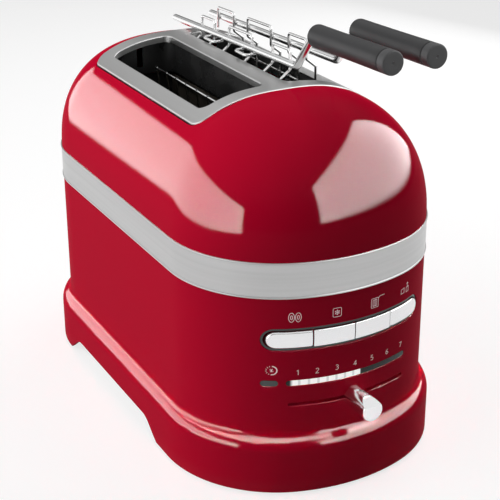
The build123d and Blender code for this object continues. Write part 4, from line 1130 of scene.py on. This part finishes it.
# Finishes of the pieces kept from the CAD.
slotFinish = {
    "red_paint": "redPaint", "brushed_band": "brushedBand", "brushed_steel": "brushedPlate",
    "steel": "sheetSteel",
    # black_steel parts get the near-black steel whose colour is painted slot shade
    "black_steel": "slotShadeSteel", "wire": "wireSteel", "chrome": "chrome", "dark_plastic": "ringPlastic",
    "black_plastic": "blackPlastic", "white_plastic": "palePlastic", "smoke_lens": "litLens",
    "light_pipe": "pipePlastic",
    "circuit_board": "boardGreen", "rubber": "rubberBlack", "grip": "gripPlastic", "mica": "micaBoard",
    "ribbon": "ribbonMetal",
}
nodeSlots = {part["node"]: part["material_slot"] for part in frame["record"]["subparts"]}
for nodeName, node in cadNodes.items():
    node.data.materials.clear()
    node.data.materials.append(finishes[slotFinish[nodeSlots[nodeName]]])
print("kept pieces", sum(not node.hide_render for node in cadNodes.values()))


# Each panel stands upright round the toaster. It has a direction, a distance, its span along itself,
# its height in metres, and how bright it is towards its two ends.
studio = {
    "floorSize": 9.0,
    "glow": 0.72,
    "rightPanel": {"turn": 66, "away": 1.0, "from": -1.86, "to": 1.05, "low": 0.2, "high": 1.63,
    "startLevel": 1.0, "endLevel": 0.8},
    "leftPanel": {"turn": -115, "away": 1.0, "from": -1.6, "to": 1.6, "low": 0.0, "high": 0.73,
    "startLevel": 0.3, "endLevel": 1.05},
    "rightSide": {"turn": 108, "away": 1.0, "from": -0.7, "to": 0.7, "low": 0.1, "high": 1.2},
    "leftSide": {"turn": -105, "away": 1.0, "from": -0.9, "to": 0.9, "low": 0.1, "high": 1.3},
    "paintShine": 157.0, "baseShine": 150.0, "metalShine": 2.2, "rightWash": 2.4, "leftWash": 2.1,
    "topWash": 1.5,
    "skyShine": 0.9, "skyDark": 0.12, "skyWash": 0.07,
    "topSize": 1.3, "topHeight": 1.5, "baseSize": 1.5, "baseHeight": 0.85,
}


def makeFloor():
    half = studio["floorSize"] / 2 / mm
    floor = makeMesh("paleFloor", [(-half, -half, 0), (half, -half, 0), (half, half, 0), (-half, half, 0)],
        [(0, 1, 2, 3)])
    material = bpy.data.materials.new("paleFloor")
    material.use_nodes = True
    tree = material.node_tree
    shader = tree.nodes["Principled BSDF"]
    shader.inputs["Base Color"].default_value = (0.3, 0.3, 0.3, 1)
    shader.inputs["Roughness"].default_value = 0.9
    shader.inputs["Specular IOR Level"].default_value = 0.0
    path = tree.nodes.new("ShaderNodeLightPath")
    seen = mathNode(tree, "SUBTRACT", 1.0, path.outputs["Is Diffuse Ray"])
    shader.inputs["Emission Color"].default_value = (1, 1, 1, 1)
    tree.links.new(mathNode(tree, "MULTIPLY", seen, studio["glow"]), shader.inputs["Emission Strength"])
    floor.data.materials.append(material)


def softEnds(tree, share, edge):
    rising = spread(tree, share, 0.0, edge)
    falling = mathNode(tree, "SUBTRACT", 1.0, spread(tree, share, 1.0 - edge, 1.0))
    return mathNode(tree, "MULTIPLY", rising, falling)


def makePanel(name, panelSize, level, forShine, receivers=None):
    light = bpy.data.lights.new(name, "AREA")
    light.shape = "RECTANGLE"
    light.size = panelSize["to"] - panelSize["from"]
    light.size_y = panelSize["high"] - panelSize["low"]
    light.energy = level * math.pi * light.size * light.size_y
    if forShine:
        light.use_nodes = True
        tree = light.node_tree
        place = tree.nodes.new("ShaderNodeNewGeometry")
        split = tree.nodes.new("ShaderNodeSeparateXYZ")
        tree.links.new(place.outputs["Parametric"], split.inputs[0])
        graded = rangeNode(tree, split.outputs["X"], panelSize["startLevel"], panelSize["endLevel"])
        soft = mathNode(tree, "MULTIPLY", softEnds(tree, split.outputs["X"], 0.05),
            softEnds(tree, split.outputs["Y"], 0.08))
        tree.links.new(mathNode(tree, "MULTIPLY", graded, soft), tree.nodes["Emission"].inputs["Strength"])
    lamp = bpy.data.objects.new(name, light)
    bpy.context.scene.collection.objects.link(lamp)
    turn = math.radians(panelSize["turn"])
    along = (panelSize["to"] + panelSize["from"]) / 2
    out = Vector((math.sin(turn), -math.cos(turn), 0))
    side = Vector((math.cos(turn), math.sin(turn), 0))
    middle = (panelSize["low"] + panelSize["high"]) / 2
    lamp.location = out * panelSize["away"] + side * along + Vector((0, 0, middle))
    lamp.rotation_euler = (math.radians(90), 0, turn)
    lamp.visible_camera = False
    lamp.visible_glossy = forShine
    lamp.visible_diffuse = not forShine
    if receivers:
        lamp.light_linking.receiver_collection = receivers
    return lamp


def makeOverhead(name, size, height, level, forShine, receivers=None):
    light = bpy.data.lights.new(name, "AREA")
    light.shape = "SQUARE"
    light.size = size
    light.energy = level * math.pi * size ** 2
    lamp = bpy.data.objects.new(name, light)
    bpy.context.scene.collection.objects.link(lamp)
    lamp.location = (0, 0, height)
    lamp.visible_camera = False
    lamp.visible_glossy = forShine
    lamp.visible_diffuse = not forShine
    if receivers:
        lamp.light_linking.receiver_collection = receivers


def receiverSet(name, pieces):
    group = bpy.data.collections.new(name)
    for piece in pieces:
        group.objects.link(piece)
    return group


def makeLights():
    shown = [o for o in bpy.context.scene.objects if o.type == "MESH"]
    painted = [o for o in shown if o.data.materials and o.data.materials[0] == finishes["redPaint"]]
    forPaint = receiverSet("forPaint", painted)
    forOthers = receiverSet("forOthers", [o for o in shown if o not in painted])
    forBase = receiverSet("forBase", [o for o in painted if o.name == "lowerHousing"])
    for side in ("right", "left"):
        panelSize = studio[side + "Panel"]
        makePanel(side + "PaintShine", panelSize, studio["paintShine"], True, forPaint)
        makePanel(side + "MetalShine", panelSize, studio["metalShine"], True, forOthers)
        makePanel(side + "Wash", studio[side + "Side"], studio[side + "Wash"], False)
    makeOverhead("topWash", studio["topSize"], studio["topHeight"], studio["topWash"], False)
    makeOverhead("baseShine", studio["baseSize"], studio["baseHeight"], studio["baseShine"], True, forBase)


def makeWorld():
    world = bpy.data.worlds.new("studioAir")
    bpy.context.scene.world = world
    world.use_nodes = True
    tree = world.node_tree
    backdrop = tree.nodes["Background"]
    backdrop.inputs["Color"].default_value = (1, 1, 1, 1)
    path = tree.nodes.new("ShaderNodeLightPath")
    soft = mathNode(tree, "MULTIPLY", path.outputs["Is Diffuse Ray"], studio["skyWash"])
    place = tree.nodes.new("ShaderNodeTexCoord")
    split = tree.nodes.new("ShaderNodeSeparateXYZ")
    tree.links.new(place.outputs["Generated"], split.inputs[0])
    sky = rangeNode(tree, spread(tree, split.outputs["Z"], 0.25, 0.6), studio["skyDark"], studio["skyShine"])
    shine = mathNode(tree, "MULTIPLY", path.outputs["Is Glossy Ray"], sky)
    level = mathNode(tree, "ADD", mathNode(tree, "ADD", path.outputs["Is Camera Ray"], soft), shine)
    tree.links.new(level, backdrop.inputs["Strength"])


camera = {"place": (-386.2, -754.9, 467.8), "turn": -27.97, "tilt": 23.65, "roll": -0.17, "lens": 93.3}


def makeCamera():
    glass = bpy.data.cameras.new("studioCamera")
    glass.lens = camera["lens"]
    glass.sensor_width = 36.0
    glass.clip_start, glass.clip_end = 0.05, 50.0
    eye = bpy.data.objects.new("studioCamera", glass)
    bpy.context.scene.collection.objects.link(eye)
    turn, tilt = math.radians(camera["turn"]), math.radians(camera["tilt"])
    back = Vector((math.sin(turn) * math.cos(tilt), -math.cos(turn) * math.cos(tilt), math.sin(tilt)))
    right = Vector((0, 0, 1)).cross(back).normalized()
    up = back.cross(right)
    facing = Matrix((right, up, back)).transposed().to_4x4()
    roll = Matrix.Rotation(math.radians(camera["roll"]), 4, "Z")
    eye.matrix_world = Matrix.Translation(Vector(camera["place"]) * mm) @ facing @ roll
    bpy.context.scene.camera = eye


makeFloor()
makeLights()
makeWorld()
makeCamera()
bpy.context.scene.view_settings.view_transform = "Standard"
print("studio set")
